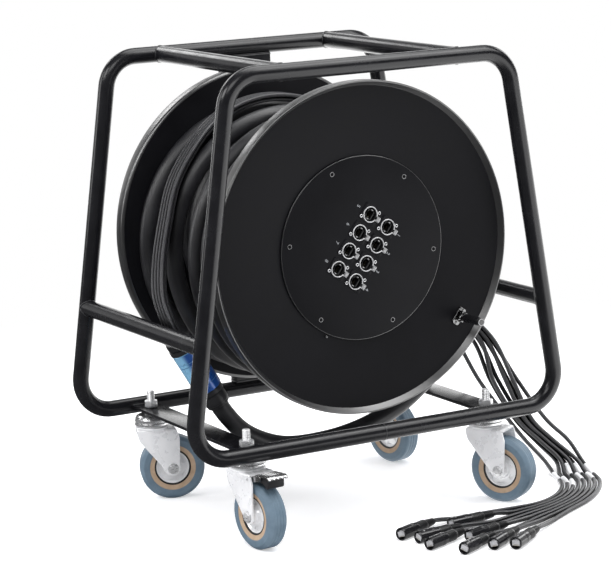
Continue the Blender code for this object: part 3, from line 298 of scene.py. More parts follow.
def smoothRoute(points, step):
    # A curve through all the points, read about every step
    points = [Vector(point) for point in points]
    ends = [points[0] * 2 - points[1]] + points + [points[-1] * 2 - points[-2]]
    route = [points[0]]
    for i in range(1, len(points)):
        p0, p1, p2, p3 = ends[i - 1:i + 3]
        k0 = max((p1 - p0).length, 1e-6) ** 0.5
        k1 = max((p2 - p1).length, 1e-6) ** 0.5
        k2 = max((p3 - p2).length, 1e-6) ** 0.5
        m1 = ((p1 - p0) / k0 - (p2 - p0) / (k0 + k1) + (p2 - p1) / k1) * k1
        m2 = ((p2 - p1) / k1 - (p3 - p1) / (k1 + k2) + (p3 - p2) / k2) * k1
        count = max(1, round((p2 - p1).length / step))
        for j in range(1, count + 1):
            t = j / count
            route.append(
                p1 * (2 * t ** 3 - 3 * t ** 2 + 1)
                + m1 * (t ** 3 - 2 * t ** 2 + t)
                + p2 * (3 * t ** 2 - 2 * t ** 3)
                + m2 * (t ** 3 - t ** 2)
            )
    return route


def eased(share):
    # A share from 0 to 1 that starts and ends gently
    share = min(max(share, 0.0), 1.0)
    return share * share * (3 - 2 * share)


def spread(count, pitch):
    # Places on both sides of a middle, this far apart
    return [(i - (count - 1) / 2) * pitch for i in range(count)]


def oblong(half, tall):
    return [(-half, -tall), (half, -tall), (half, tall), (-half, tall)]


def stepped(steps, radius, height=0.0):
    # Points of a profile, given as steps from a radius and a height
    return [(radius + across, height + up) for across, up in steps]


def edgesAt(bm, z, lengthwise=False):
    # Edges at this height, or only those of them that keep their Y
    near = base["nearGap"]
    return [
        edge
        for edge in bm.edges
        if all(abs(vert.co.z - z) < near for vert in edge.verts)
        and not (lengthwise and abs(edge.verts[0].co.y - edge.verts[1].co.y) > near)
    ]


def mirrored(side):
    # Both halves of a turned profile, from the half above the middle plane
    return [tuple(spot) for spot in side] + [(radius, -height) for radius, height in reversed(side)]


def newObject(name, data):
    item = bpy.data.objects.new(name, data)
    bpy.context.scene.collection.objects.link(item)
    return item


def addPiece(name, bm, material, body, replaces=(), place=None, sharp=None):
    # A shape becomes a finished piece: its place in its mesh, its material and its body. The CAD
    # parts it replaces are hidden
    if place is not None:
        placed(bm, place)
    placed(bm, moved(0.0, shiftY, 0.0))
    mesh = bpy.data.meshes.new(name)
    bm.to_mesh(mesh)
    bm.free()
    mesh.shade_smooth()
    mesh.set_sharp_from_angle(angle=math.radians(sharp or base["sharpAngle"]))
    mesh.materials.append(material)
    piece = newObject(name, mesh)
    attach(piece, body)
    if replaces:
        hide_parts(*replaces)
    return piece


def paintRim(piece, radius, material):
    # What lies beyond this radius about the axle gets another paint
    piece.data.materials.append(material)
    for polygon in piece.data.polygons:
        centre = polygon.center
        if math.hypot(centre.x, centre.z - base["axleZ"]) > radius:
            polygon.material_index = 1


# Materials

def shaderOf(material):
    return material.node_tree.nodes["Principled BSDF"]


def newMaterial(name, colour, metallic, roughness, specular=0.5, coat=0.0, coatRoughness=0.1):
    material = bpy.data.materials.new(name)
    material.use_nodes = True
    shader = shaderOf(material)
    shader.inputs["Base Color"].default_value = (*colour, 1.0)
    shader.inputs["Metallic"].default_value = metallic
    shader.inputs["Roughness"].default_value = roughness
    shader.inputs["Specular IOR Level"].default_value = specular
    shader.inputs["Coat Weight"].default_value = coat
    shader.inputs["Coat Roughness"].default_value = coatRoughness
    material.diffuse_color = (*colour, 1.0)
    return material


# The node functions take a material or the world as their owner

def addNode(owner, kind, values=None, **settings):
    node = owner.node_tree.nodes.new(kind)
    for key, value in settings.items():
        setattr(node, key, value)
    for key, value in (values or {}).items():
        node.inputs[key].default_value = value
    return node


def joinNodes(owner, source, target):
    owner.node_tree.links.new(source, target)


def mathNode(owner, operation, *terms):
    node = addNode(owner, "ShaderNodeMath", operation=operation)
    for i, term in enumerate(terms):
        if isinstance(term, (int, float)):
            node.inputs[i].default_value = term
        else:
            joinNodes(owner, term, node.inputs[i])
    return node.outputs["Value"]


def dotNode(owner, vector, direction):
    node = addNode(owner, "ShaderNodeVectorMath", operation="DOT_PRODUCT")
    node.inputs[1].default_value = direction
    joinNodes(owner, vector, node.inputs[0])
    return node.outputs["Value"]


def easedNode(owner, value, span, low, high):
    # Low before the span, high after it, with a smooth rise between
    values = {"From Min": span[0], "From Max": span[1], "To Min": low, "To Max": high}
    node = addNode(owner, "ShaderNodeMapRange", values, interpolation_type="SMOOTHSTEP")
    joinNodes(owner, value, node.inputs["Value"])
    return node.outputs["Result"]


def rampNode(owner, value, low, high, start, end):
    node = addNode(owner, "ShaderNodeValToRGB")
    for stop, place, colour in zip(node.color_ramp.elements, (start, end), (low, high)):
        stop.position = place
        stop.color = (*colour, 1.0)
    joinNodes(owner, value, node.inputs["Fac"])
    return node.outputs["Color"]


def mixNode(owner, share, first, second):
    node = addNode(owner, "ShaderNodeMixShader")
    for source, target in zip((share, first, second), node.inputs):
        joinNodes(owner, source, target)
    return node.outputs["Shader"]


def grainOf(material, scale, stretch=(1.0, 1.0, 1.0), detail=3.0, roughness=0.55):
    # Noise in the piece's own space, drawn out along an axis where the finish runs that way
    coordinates = addNode(material, "ShaderNodeTexCoord")
    mapping = addNode(material, "ShaderNodeMapping", {"Scale": stretch})
    noise = addNode(
        material, "ShaderNodeTexNoise", {"Scale": scale, "Detail": detail, "Roughness": roughness}
    )
    joinNodes(material, coordinates.outputs["Object"], mapping.inputs["Vector"])
    joinNodes(material, mapping.outputs["Vector"], noise.inputs["Vector"])
    return noise.outputs["Fac"]


def varyColour(material, fac, low, high, start=0.35, end=0.65):
    colour = rampNode(material, fac, low, high, start, end)
    joinNodes(material, colour, shaderOf(material).inputs["Base Color"])


def varyRoughness(material, fac, low, high):
    values = {"From Min": 0.3, "From Max": 0.7, "To Min": low, "To Max": high}
    spread = addNode(material, "ShaderNodeMapRange", values)
    joinNodes(material, fac, spread.inputs["Value"])
    joinNodes(material, spread.outputs["Result"], shaderOf(material).inputs["Roughness"])


def addRelief(material, height, strength, depth):
    # Relief is added to any that the material has already
    bump = addNode(material, "ShaderNodeBump", {"Strength": strength, "Distance": depth})
    joinNodes(material, height, bump.inputs["Height"])
    normal = shaderOf(material).inputs["Normal"]
    if normal.links:
        joinNodes(material, normal.links[0].from_socket, bump.inputs["Normal"])
    joinNodes(material, bump.outputs["Normal"], normal)


def shadeGaps(material, reach, power):
    # Painted shade: jackets that lie close together go dark between them, in colour and in gloss
    colour = shaderOf(material).inputs["Base Color"]
    specular = shaderOf(material).inputs["Specular IOR Level"]
    closeness = addNode(material, "ShaderNodeAmbientOcclusion", {"Distance": reach}, samples=6)
    openness = mathNode(material, "POWER", closeness.outputs["AO"], power)
    darker = addNode(material, "ShaderNodeMix", data_type="RGBA", blend_type="MULTIPLY")
    darker.inputs["Factor"].default_value = 1.0
    joinNodes(material, colour.links[0].from_socket, darker.inputs[6])
    joinNodes(material, openness, darker.inputs[7])
    joinNodes(material, darker.outputs[2], colour)
    gloss = mathNode(material, "MULTIPLY", openness, specular.default_value)
    joinNodes(material, gloss, specular)


def braidOf(material, turnsAround, pitch):
    # Two families of strands crossing along a cord, from its UV map
    coordinates = addNode(material, "ShaderNodeTexCoord")
    split = addNode(material, "ShaderNodeSeparateXYZ")
    joinNodes(material, coordinates.outputs["UV"], split.inputs["Vector"])
    around = mathNode(material, "MULTIPLY", split.outputs["X"], turnsAround * 2 * math.pi)
    along = mathNode(material, "MULTIPLY", split.outputs["Y"], 2 * math.pi / pitch)
    waves = []
    for operation in ("ADD", "SUBTRACT"):
        phase = mathNode(material, operation, around, along)
        waves.append(mathNode(material, "SINE", phase))
    return mathNode(material, "MULTIPLY", waves[0], waves[1])


# Each finish: its dark and light colour, the scale of their patches, its roughness and how far that
# strays, and the scale, strength and depth of its fine grain
finishes = {
    "framePaint": {
        "low": (0.0075, 0.0075, 0.009), "high": (0.011, 0.011, 0.013), "patches": 26.0,
        "stray": (-0.04, 0.05), "specular": 0.45, "grain": 900.0, "relief": 0.12, "depth": 0.0004,
    },
    "flangePaint": {
        "low": (0.0042, 0.0042, 0.0054), "high": (0.0064, 0.0064, 0.008), "patches": 14.0,
        "stray": (-0.05, 0.05), "grain": 700.0, "relief": 0.1, "depth": 0.0003,
    },
    "weld": {
        "low": (0.0075, 0.0075, 0.009), "high": (0.03, 0.03, 0.034), "roughness": 0.36,
        "specular": 0.6, "coat": 0.2, "coatRoughness": 0.2, "ripples": 420.0, "relief": 0.7,
        "depth": 0.001,
    },
    "zinc": {
        "low": (0.88, 0.885, 0.895), "high": (0.94, 0.94, 0.945), "patches": 60.0,
        "stray": (-0.04, 0.06), "grain": 520.0, "relief": 0.03, "depth": 0.0002,
    },
    "plastic": {
        "lowShare": 0.82, "highShare": 1.12, "patches": 40.0,
        "stray": (-0.04, 0.06), "grain": 600.0, "relief": 0.1, "depth": 0.0003,
    },
    "tyre": {
        "low": (0.124, 0.186, 0.242), "high": (0.158, 0.226, 0.286), "patches": 55.0,
        "roughness": 0.5, "stray": (-0.06, 0.1), "specular": 0.45, "grain": 240.0, "relief": 0.14,
        "depth": 0.0004,
    },
    "tan": {
        "low": (0.46, 0.325, 0.215), "high": (0.54, 0.395, 0.275), "patches": 80.0,
        "roughness": 0.6, "stray": (0.0, 0.0), "specular": 0.35, "grain": 300.0, "relief": 0.15,
        "depth": 0.0004,
    },
    "snake": {
        "low": (0.012, 0.012, 0.014), "high": (0.019, 0.019, 0.022), "patches": 30.0,
        "stretch": (1.0, 1.6, 1.0), "roughness": 0.42, "stray": (-0.06, 0.1), "specular": 0.75,
        "grain": 420.0, "relief": 0.16, "depth": 0.0004, "waves": 18.0, "waveRelief": 0.1,
        "waveDepth": 0.003, "paintedShadeReach": 0.03, "paintedShadePower": 1.3,
    },
    "tail": {
        "low": (0.008, 0.008, 0.01), "high": (0.052, 0.052, 0.058), "roughness": 0.32,
        "specular": 0.75,
        "strands": 5.0, "pitch": 0.0036, "contrast": 0.25, "braidRelief": 0.35,
        "braidDepth": 0.0005,
        "grain": 1100.0, "relief": 0.2, "depth": 0.0003, "paintedShadeReach": 0.012, "paintedShadePower": 3.0,
    },
    # The blue's light colour is a painted sheen on the side turned left
    "blue": {
        "low": (0.012, 0.085, 0.36), "high": (0.26, 0.55, 0.8), "patches": 60.0,
        "stretch": (1.0, 1.0, 0.25),
        "metallic": 0.35, "roughness": 0.26, "stray": (-0.02, 0.1), "specular": 0.6, "coat": 1.0,
        "coatRoughness": 0.06, "towards": (0.873, -0.488, 0.0), "turn": (-0.28, 0.1),
        "uneven": 0.06,
        "grain": 800.0, "relief": 0.08, "depth": 0.0002,
    },
}
even = (1.0, 1.0, 1.0)


def addSurface(material, finish, low, high, roughness, stretch=even, grainStretch=even):
    # Patches of colour and roughness, then the fine grain
    patches = grainOf(material, finish["patches"], stretch)
    varyColour(material, patches, low, high)
    varyRoughness(material, patches, roughness + finish["stray"][0], roughness + finish["stray"][1])
    grain = grainOf(material, finish["grain"], grainStretch)
    addRelief(material, grain, finish["relief"], finish["depth"])
    return material


def makeFramePaint(name, roughness):
    # Black satin powder coat with a fine orange peel
    finish = finishes["framePaint"]
    material = newMaterial(name, finish["high"], 0.0, roughness, finish["specular"])
    return addSurface(material, finish, finish["low"], finish["high"], roughness)


def makeFlangePaint(name, specular, roughness):
    # Matte black coat of the drum, nearly even
    finish = finishes["flangePaint"]
    material = newMaterial(name, finish["high"], 0.0, roughness, specular)
    return addSurface(material, finish, finish["low"], finish["high"], roughness)


def makeZinc(name, roughness, stretch=even, tint=1.0, metallic=1.0):
    # Bright zinc plate with faint spangle and drawn streaks
    finish = finishes["zinc"]
    low, high = (tuple(value * tint for value in finish[key]) for key in ("low", "high"))
    material = newMaterial(name, high, metallic, roughness)
    return addSurface(material, finish, low, high, roughness, stretch, stretch)


def makePlastic(name, colour, roughness, specular=0.5, coat=0.0):
    finish = finishes["plastic"]
    low, high = (
        tuple(value * finish[key] for value in colour) for key in ("lowShare", "highShare")
    )
    material = newMaterial(name, colour, 0.0, roughness, specular, coat)
    return addSurface(material, finish, low, high, roughness)


def makeRubber(name, kind):
    finish = finishes[kind]
    material = newMaterial(name, finish["high"], 0.0, finish["roughness"], finish["specular"])
    return addSurface(material, finish, finish["low"], finish["high"], finish["roughness"],
                      finish.get("stretch", even))


def makeSnakeJacket():
    # Rubbery black jacket, slightly polished by handling, with faint waves along it
    finish = finishes["snake"]
    material = makeRubber("snakeJacket", "snake")
    waves = grainOf(material, finish["waves"])
    addRelief(material, waves, finish["waveRelief"], finish["waveDepth"])
    # Painted shade where the turns of the snake lie close together
    shadeGaps(material, finish["paintedShadeReach"], finish["paintedShadePower"])
    return material


def makeTailJacket():
    # Braided sleeve of the thin tails
    finish = finishes["tail"]
    material = newMaterial("tailBraid", finish["high"], 0.0, finish["roughness"],
                           finish["specular"])
    braid = braidOf(material, finish["strands"], finish["pitch"])
    shade = mathNode(material, "MULTIPLY_ADD", braid, finish["contrast"], 0.5)
    varyColour(material, shade, finish["low"], finish["high"])
    addRelief(material, braid, finish["braidRelief"], finish["braidDepth"])
    addRelief(material, grainOf(material, finish["grain"]), finish["relief"], finish["depth"])
    # Painted shade between the tails where they lie close together
    shadeGaps(material, finish["paintedShadeReach"], finish["paintedShadePower"])
    return material


def makeBlue():
    # Blue anodised skin with a painted sheen: pale on the side turned left, deep blue on the other
    finish = finishes["blue"]
    roughness = finish["roughness"]
    material = newMaterial("blueAnodised", finish["high"], finish["metallic"], roughness,
                           finish["specular"], finish["coat"], finish["coatRoughness"])
    patches = grainOf(material, finish["patches"], finish["stretch"])
    coordinates = addNode(material, "ShaderNodeTexCoord")
    side = dotNode(material, coordinates.outputs["Normal"], finish["towards"])
    uneven = mathNode(material, "MULTIPLY", patches, finish["uneven"])
    side = mathNode(material, "ADD", side, uneven)
    paintedSheen = easedNode(material, side, finish["turn"], 1.0, 0.0)
    varyColour(material, paintedSheen, finish["low"], finish["high"], 0.0, 1.0)
    varyRoughness(material, patches, roughness + finish["stray"][0], roughness + finish["stray"][1])
    addRelief(material, grainOf(material, finish["grain"]), finish["relief"], finish["depth"])
    return material


def makeWeld():
    # Painted weld bead with its ripples
    finish = finishes["weld"]
    material = newMaterial("weldBead", finishes["framePaint"]["high"], 0.0, finish["roughness"],
                           finish["specular"], finish["coat"], finish["coatRoughness"])
    ripples = grainOf(material, finish["ripples"], detail=1.0)
    varyColour(material, ripples, finish["low"], finish["high"])
    addRelief(material, ripples, finish["relief"], finish["depth"])
    return material


framePaint = makeFramePaint("framePaint", 0.24)
barPaint = makeFramePaint("barPaint", 0.18)
weldPaint = makeWeld()
flangePaint = makeFlangePaint("flangePaint", 0.12, 0.5)
rimPaint = makeFlangePaint("rimPaint", 1.0, 0.34)
shaderOf(rimPaint).inputs["IOR"].default_value = 1.9
panelPaint = makeFlangePaint("panelPaint", 0.12, 0.5)
platePaint = makeFlangePaint("platePaint", 0.12, 0.42)
corePaint = makeFlangePaint("corePaint", 0.3, 0.5)
zincPlate = makeZinc("zincPlate", 0.28, tint=1.05, metallic=0.15)
zincRace = makeZinc("zincRace", 0.22, tint=0.85, metallic=0.8)
zincDisc = makeZinc("zincDisc", 0.18, tint=1.05, metallic=0.25)
boltZinc = makeZinc("boltZinc", 0.28, (1.0, 1.0, 5.0), 0.88, 0.6)
pedalSteel = makeZinc("pedalSteel", 0.22, (6.0, 1.0, 1.0), 0.55)
crankSteel = makeZinc("crankSteel", 0.16, tint=0.22)
turnedSteel = makeZinc("turnedSteel", 0.3, tint=0.75)
socketNickel = makeZinc("socketNickel", 0.3, tint=0.68, metallic=0.4)
dimSteel = makeZinc("dimSteel", 0.35, tint=0.3)
latchSteel = makeZinc("latchSteel", 0.34, tint=0.42, metallic=0.4)
rivetNickel = makeZinc("rivetNickel", 0.26, tint=0.95, metallic=0.4)
contactGold = newMaterial("contactGold", (0.5, 0.44, 0.34), 1.0, 0.25)
varyRoughness(contactGold, grainOf(contactGold, 700.0), 0.2, 0.35)
tyreRubber = makeRubber("tyreRubber", "tyre")
tanRubber = makeRubber("tanCoreRubber", "tan")
sealRubber = makePlastic("sealRubber", (0.014, 0.014, 0.016), 0.55)
shoeRubber = makePlastic("shoeRubber", (0.02, 0.02, 0.022), 0.55)
snakeJacket = makeSnakeJacket()
tailJacket = makeTailJacket()
blueAnodised = makeBlue()
glandPlastic = makePlastic("glandPlastic", (0.016, 0.016, 0.018), 0.38, 0.5)
gripPlastic = makePlastic("gripPlastic", (0.01, 0.01, 0.011), 0.18, 0.9)
jackPlastic = makePlastic("jackPlastic", (0.01, 0.01, 0.011), 0.45, 0.4)
plugShell = makePlastic("plugShell", (0.012, 0.012, 0.014), 0.16, 0.9)
bootRubber = makePlastic("bootRubber", (0.014, 0.014, 0.015), 0.34, 0.5)
plugClear = makePlastic("plugClear", (0.46, 0.46, 0.47), 0.22, 0.5, 0.2)
labelWhite = makePlastic("labelWhite", (0.88, 0.88, 0.89), 0.4, 0.4)
digitPaint = makePlastic("digitPaint", (0.3, 0.31, 0.32), 0.5, 0.3)
print("materials ready")


# Camera, floor and light

shot = {
    "place": (-1.87583, -3.31902, 1.05189),
    "heading": 29.19,
    "pitch": 10.7145,
    "roll": -2.0525,
    "lens": 150.86,
    "sensor": 36.0,
}


def addCamera():
    heading, pitch, roll = (math.radians(shot[key]) for key in ("heading", "pitch", "roll"))
    level = Vector((math.sin(heading), math.cos(heading), 0.0))
    forward = level * math.cos(pitch) - Vector((0.0, 0.0, math.sin(pitch)))
    right = Vector((math.cos(heading), -math.sin(heading), 0.0))
    up = right.cross(forward)
    turnedRight = right * math.cos(roll) + up * math.sin(roll)
    turnedUp = up * math.cos(roll) - right * math.sin(roll)
    camera = bpy.data.cameras.new("photoCamera")
    camera.lens = shot["lens"]
    camera.sensor_width = shot["sensor"]
    camera.sensor_fit = "HORIZONTAL"
    camera.clip_start = 0.05
    camera.clip_end = 200.0
    item = newObject("photoCamera", camera)
    item.matrix_world = Matrix.Translation(shot["place"]) @ (
        Matrix((turnedRight, turnedUp, -forward)).transposed().to_4x4()
    )
    bpy.context.scene.camera = item


studio = {
    "floorSize": 60.0,
    "floorColour": (0.9, 0.9, 0.91),
    "floorGlow": 0.42,
    "fade": (0.75, 1.6),
    "floorBright": (0.98, 0.17, 0.0),
    "floorSpan": (-0.2, 0.4),
    "skyTop": (0.95, 0.96, 1.0),
    "skySide": (0.58, 0.58, 0.6),
    "skyTopFrom": 0.8,
    "skyStrength": 0.8,
    "skyBright": (0.488, 0.873, 0.0),
    "skySpan": (0.35, 0.95),
    "ceilingSpan": (0.1, 0.5),
    "ceilingShade": 0.15,
    "dark": 0.1,
    "bright": 2.4,
}

# Each lamp: place, what it looks at, width, height, radiance
lamps = {
    "overhead": ((0.7, 0.1, 2.7), (0.1, 0.0, 0.4), 2.4, 1.6, 3.4),
    "leftTop": ((-2.4, -0.2, 2.2), (0.0, 0.0, 0.4), 1.3, 1.0, 5.6),
    "leftSoftbox": ((-2.3, 1.5, 1.3), (0.0, 0.1, 0.4), 0.8, 1.7, 3.8),
    "rightSoftbox": ((2.6, 0.8, 1.3), (0.0, 0.1, 0.4), 0.7, 1.9, 3.2),
    "key": ((-1.5, -2.0, 2.8), (0.0, 0.0, 0.3), 1.7, 1.3, 3.4),
    "frontTop": ((1.6, -1.3, 2.6), (0.0, 0.0, 0.3), 1.6, 1.7, 3.6),
    "rimSpot": ((-0.25, 2.3, 1.82), (0.0, 0.1, 0.4), 1.0, 0.35, 6.0),
}


def addFloor():
    # The camera sees it fade into white. Gloss sees it dark at the left, bright elsewhere
    material = newMaterial("studioFloor", studio["floorColour"], 0.0, 0.9, 0.0)
    coordinates = addNode(material, "ShaderNodeTexCoord")
    distance = addNode(material, "ShaderNodeVectorMath", operation="LENGTH")
    joinNodes(material, coordinates.outputs["Object"], distance.inputs[0])
    fade = easedNode(material, distance.outputs["Value"], studio["fade"], 0.0, 1.0)
    side = dotNode(material, coordinates.outputs["Object"], studio["floorBright"])
    shine = easedNode(material, side, studio["floorSpan"], studio["dark"], studio["bright"])
    rays = addNode(material, "ShaderNodeLightPath")
    camera, glossy = rays.outputs["Is Camera Ray"], rays.outputs["Is Glossy Ray"]
    seen = mathNode(material, "MAXIMUM", camera, rays.outputs["Is Transmission Ray"])
    glow = addNode(material, "ShaderNodeEmission")
    strength = mathNode(material, "MULTIPLY", seen, studio["floorGlow"])
    joinNodes(material, strength, glow.inputs["Strength"])
    lifted = addNode(material, "ShaderNodeAddShader")
    joinNodes(material, shaderOf(material).outputs["BSDF"], lifted.inputs[0])
    joinNodes(material, glow.outputs["Emission"], lifted.inputs[1])
    reflected = mathNode(material, "MULTIPLY", shine, mathNode(material, "SUBTRACT", 1.0, camera))
    white = addNode(material, "ShaderNodeEmission")
    joinNodes(material, mathNode(material, "ADD", reflected, camera), white.inputs["Strength"])
    share = mathNode(material, "MAXIMUM", mathNode(material, "MULTIPLY", seen, fade), glossy)
    mixed = mixNode(material, share, lifted.outputs["Shader"], white.outputs["Emission"])
    joinNodes(material, mixed, material.node_tree.nodes["Material Output"].inputs["Surface"])
    bm = bmesh.new()
    bmesh.ops.create_grid(bm, x_segments=1, y_segments=1, size=studio["floorSize"] / 2)
    mesh = bpy.data.meshes.new("studioFloor")
    bm.to_mesh(mesh)
    bm.free()
    mesh.materials.append(material)
    floor = newObject("studioFloor", mesh)
    floor.location.z = cadLow.z


def addWorld():
    # A soft pale dome. Gloss sees it bright only low down behind, the camera sees plain white
    world = bpy.data.worlds.new("studioWorld")
    bpy.context.scene.world = world
    world.use_nodes = True
    world.node_tree.nodes.clear()
    directions = addNode(world, "ShaderNodeTexCoord").outputs["Generated"]
    split = addNode(world, "ShaderNodeSeparateXYZ")
    joinNodes(world, directions, split.inputs["Vector"])
    height = split.outputs["Z"]
    sky = rampNode(world, height, studio["skySide"], studio["skyTop"], 0.0, studio["skyTopFrom"])
    dome = addNode(world, "ShaderNodeBackground", {"Strength": studio["skyStrength"]})
    joinNodes(world, sky, dome.inputs["Color"])
    side = dotNode(world, directions, studio["skyBright"])
    shine = easedNode(world, side, studio["skySpan"], studio["dark"], studio["bright"])
    ceiling = easedNode(world, height, studio["ceilingSpan"], 1.0, studio["ceilingShade"])
    gloss = addNode(world, "ShaderNodeBackground")
    joinNodes(world, mathNode(world, "MULTIPLY", shine, ceiling), gloss.inputs["Strength"])
    plain = addNode(world, "ShaderNodeBackground", {"Color": (1.0, 1.0, 1.0, 1.0)})
    rays = addNode(world, "ShaderNodeLightPath").outputs
    soft, bright, white = (node.outputs["Background"] for node in (dome, gloss, plain))
    domes = mixNode(world, rays["Is Glossy Ray"], soft, bright)
    domes = mixNode(world, rays["Is Camera Ray"], domes, white)
    joinNodes(world, domes, addNode(world, "ShaderNodeOutputWorld").inputs["Surface"])


def addLamps():
    for name, (place, target, width, height, radiance) in lamps.items():
        lamp = bpy.data.lights.new(name, "AREA")
        lamp.shape = "RECTANGLE"
        lamp.size = width
        lamp.size_y = height
        lamp.energy = radiance * math.pi * width * height
        item = newObject(name, lamp)
        item.location = place
        item.visible_camera = False
        item.rotation_euler = (Vector(target) - Vector(place)).to_track_quat("-Z", "Y").to_euler()


scene = bpy.context.scene
scene.view_settings.view_transform = "Standard"
addCamera()
addFloor()
addWorld()
addLamps()
print("camera, floor and light ready")


# Tube stand

stand = {
    "tube": 0.025,
    "bottomZ": 0.143,
    "topZ": 0.685,
    "bottomHalf": 0.3145,
    "topHalf": 0.2322,
    "bendRadius": 0.05,
    "bendSteps": 14,
    "sides": 40,
    "topTubeX": 0.147,
    "midTubeZ": 0.307,
    "barWidth": 0.04,
    "barThick": 0.005,
    "barLift": 0.0025,
    "barSink": 0.001,
    "barEdge": 0.0007,
    "beadRadius": 0.0011,
    "beadSides": 10,
    "beadSteps": 56,
    "barBeadSteps": 24,
    "seamX": 0.0005,
    "seamWidth": 0.0022,
    "seamLift": 0.00035,
    "seamSink": 0.0008,
    "casterInset": 0.108,
}


def legX(z):
    share = (z - stand["bottomZ"]) / (stand["topZ"] - stand["bottomZ"])
    return stand["bottomHalf"] + share * (stand["topHalf"] - stand["bottomHalf"])


def addLoop(name, y, node):
    corners = [
        (-stand["bottomHalf"], stand["bottomZ"]),
        (stand["bottomHalf"], stand["bottomZ"]),
        (stand["topHalf"], stand["topZ"]),
        (-stand["topHalf"], stand["topZ"]),
    ]
    outline = roundCorners(corners, stand["bendRadius"], stand["bendSteps"], closed=True)
    path = [Vector((x, y, z)) for x, z in outline]
    bm = swept(path, stand["tube"] / 2, stand["sides"], closed=True)
    addPiece(name, bm, framePaint, "stand", (node,))


def addWeld(name, bm):
    addPiece(name, bm, weldPaint, "stand")


def beadPath(centre, loopAxis):
    # Where a cross tube along Y meets a loop tube of the same size
    radius = stand["tube"] / 2
    across = Vector((loopAxis.z, 0.0, -loopAxis.x))
    inward = -math.copysign(1.0, centre.y)
    path = []
    for i in range(stand["beadSteps"]):
        angle = 2 * math.pi * i / stand["beadSteps"]
        cosine, sine = math.cos(angle), math.sin(angle)
        # The saddle curve, kept a little clear of the tube where it would touch its side
        lift = Vector((0.0, inward * radius * math.sqrt(cosine * cosine + 0.02), 0.0))
        path.append(centre + (loopAxis * cosine + across * sine) * radius + lift)
    return path


def addCrossTube(name, x, z, loopAxis, node):
    path = [Vector((x, -base["loopY"], z)), Vector((x, base["loopY"], z))]
    bm = swept(path, stand["tube"] / 2, stand["sides"])
    addPiece(name, bm, framePaint, "stand", (node,))
    for end, y in (("Front", -base["loopY"]), ("Rear", base["loopY"])):
        rim = beadPath(Vector((x, y, z)), loopAxis)
        bead = swept(rim, stand["beadRadius"], stand["beadSides"], closed=True)
        addWeld(name + "Weld" + end, bead)


def addBar(name, side, node):
    top = stand["bottomZ"] + stand["barLift"]
    reach = base["loopY"] - stand["tube"] / 2 + stand["barSink"]
    half = stand["barWidth"] / 2
    x = side * casterX
    low = (x - half, -reach, top - stand["barThick"])
    bm = block(low, (x + half, reach, top), stand["barEdge"], 3)
    addPiece(name, bm, barPaint, "stand", (node,))
    steps = stand["barBeadSteps"]
    for end, sign in (("Front", -1), ("Rear", 1)):
        y, z = sign * (reach - stand["barSink"] * 0.6), top + 0.0002
        start, stop = (Vector((x + way * (half - 0.001), y, z)) for way in (-1, 1))
        path = [start.lerp(stop, i / steps) for i in range(steps + 1)]
        bead = swept(path, stand["beadRadius"], stand["beadSides"])
        addWeld(name + "Weld" + end, bead)


def addSeam():
    # Closing joint of the front loop in the middle of its bottom run
    outer = stand["tube"] / 2 + stand["seamLift"]
    inner = stand["tube"] / 2 - stand["seamSink"]
    half = stand["seamWidth"] / 2
    profile = [(outer, half * 0.6), (outer, -half * 0.6), (inner, -half), (inner, half)]
    place = moved(stand["seamX"], -base["loopY"], stand["bottomZ"]) @ turned(90.0, "Y")
    addWeld("loopSeam", placed(spun(profile, 48, closed=True), place))


post = {
    "width": 0.084,
    "thick": 0.018,
    "edge": 0.0012,
    "sink": 0.002,
    "beadLift": 0.003,
    "beadStep": 0.004,
    "spindle": 0.03,
    "collar": 0.052,
    "collarLength": 0.006,
    "nutFlats": 0.046,
    "nutHeight": 0.012,
    "hubFront": 0.1007,
    "tip": 0.003,
    "spindleEdge": 0.0015,
    "collarEdge": 0.001,
    "boltRing": 0.03,
    "boltFlats": 0.013,
    "boltHead": 0.005,
}


def hexNut(flats, low, high, edge):
    # A nut or bolt head with its corners turned off
    radius = flats / math.sqrt(3)
    body = rod((0.0, 0.0, low), (0.0, 0.0, high), radius, 6)
    slope = (radius - flats / 2) * 0.9
    face, wide = flats / 2 * 0.96, radius + 0.0004
    cone = [(0.0, high), (face, high), (wide, high - slope)]
    cone += [(wide, low + slope), (face, low), (0.0, low)]
    return softEdges(carved(body, spun(cone, 36), "INTERSECT"), edge, 2, 30.0)


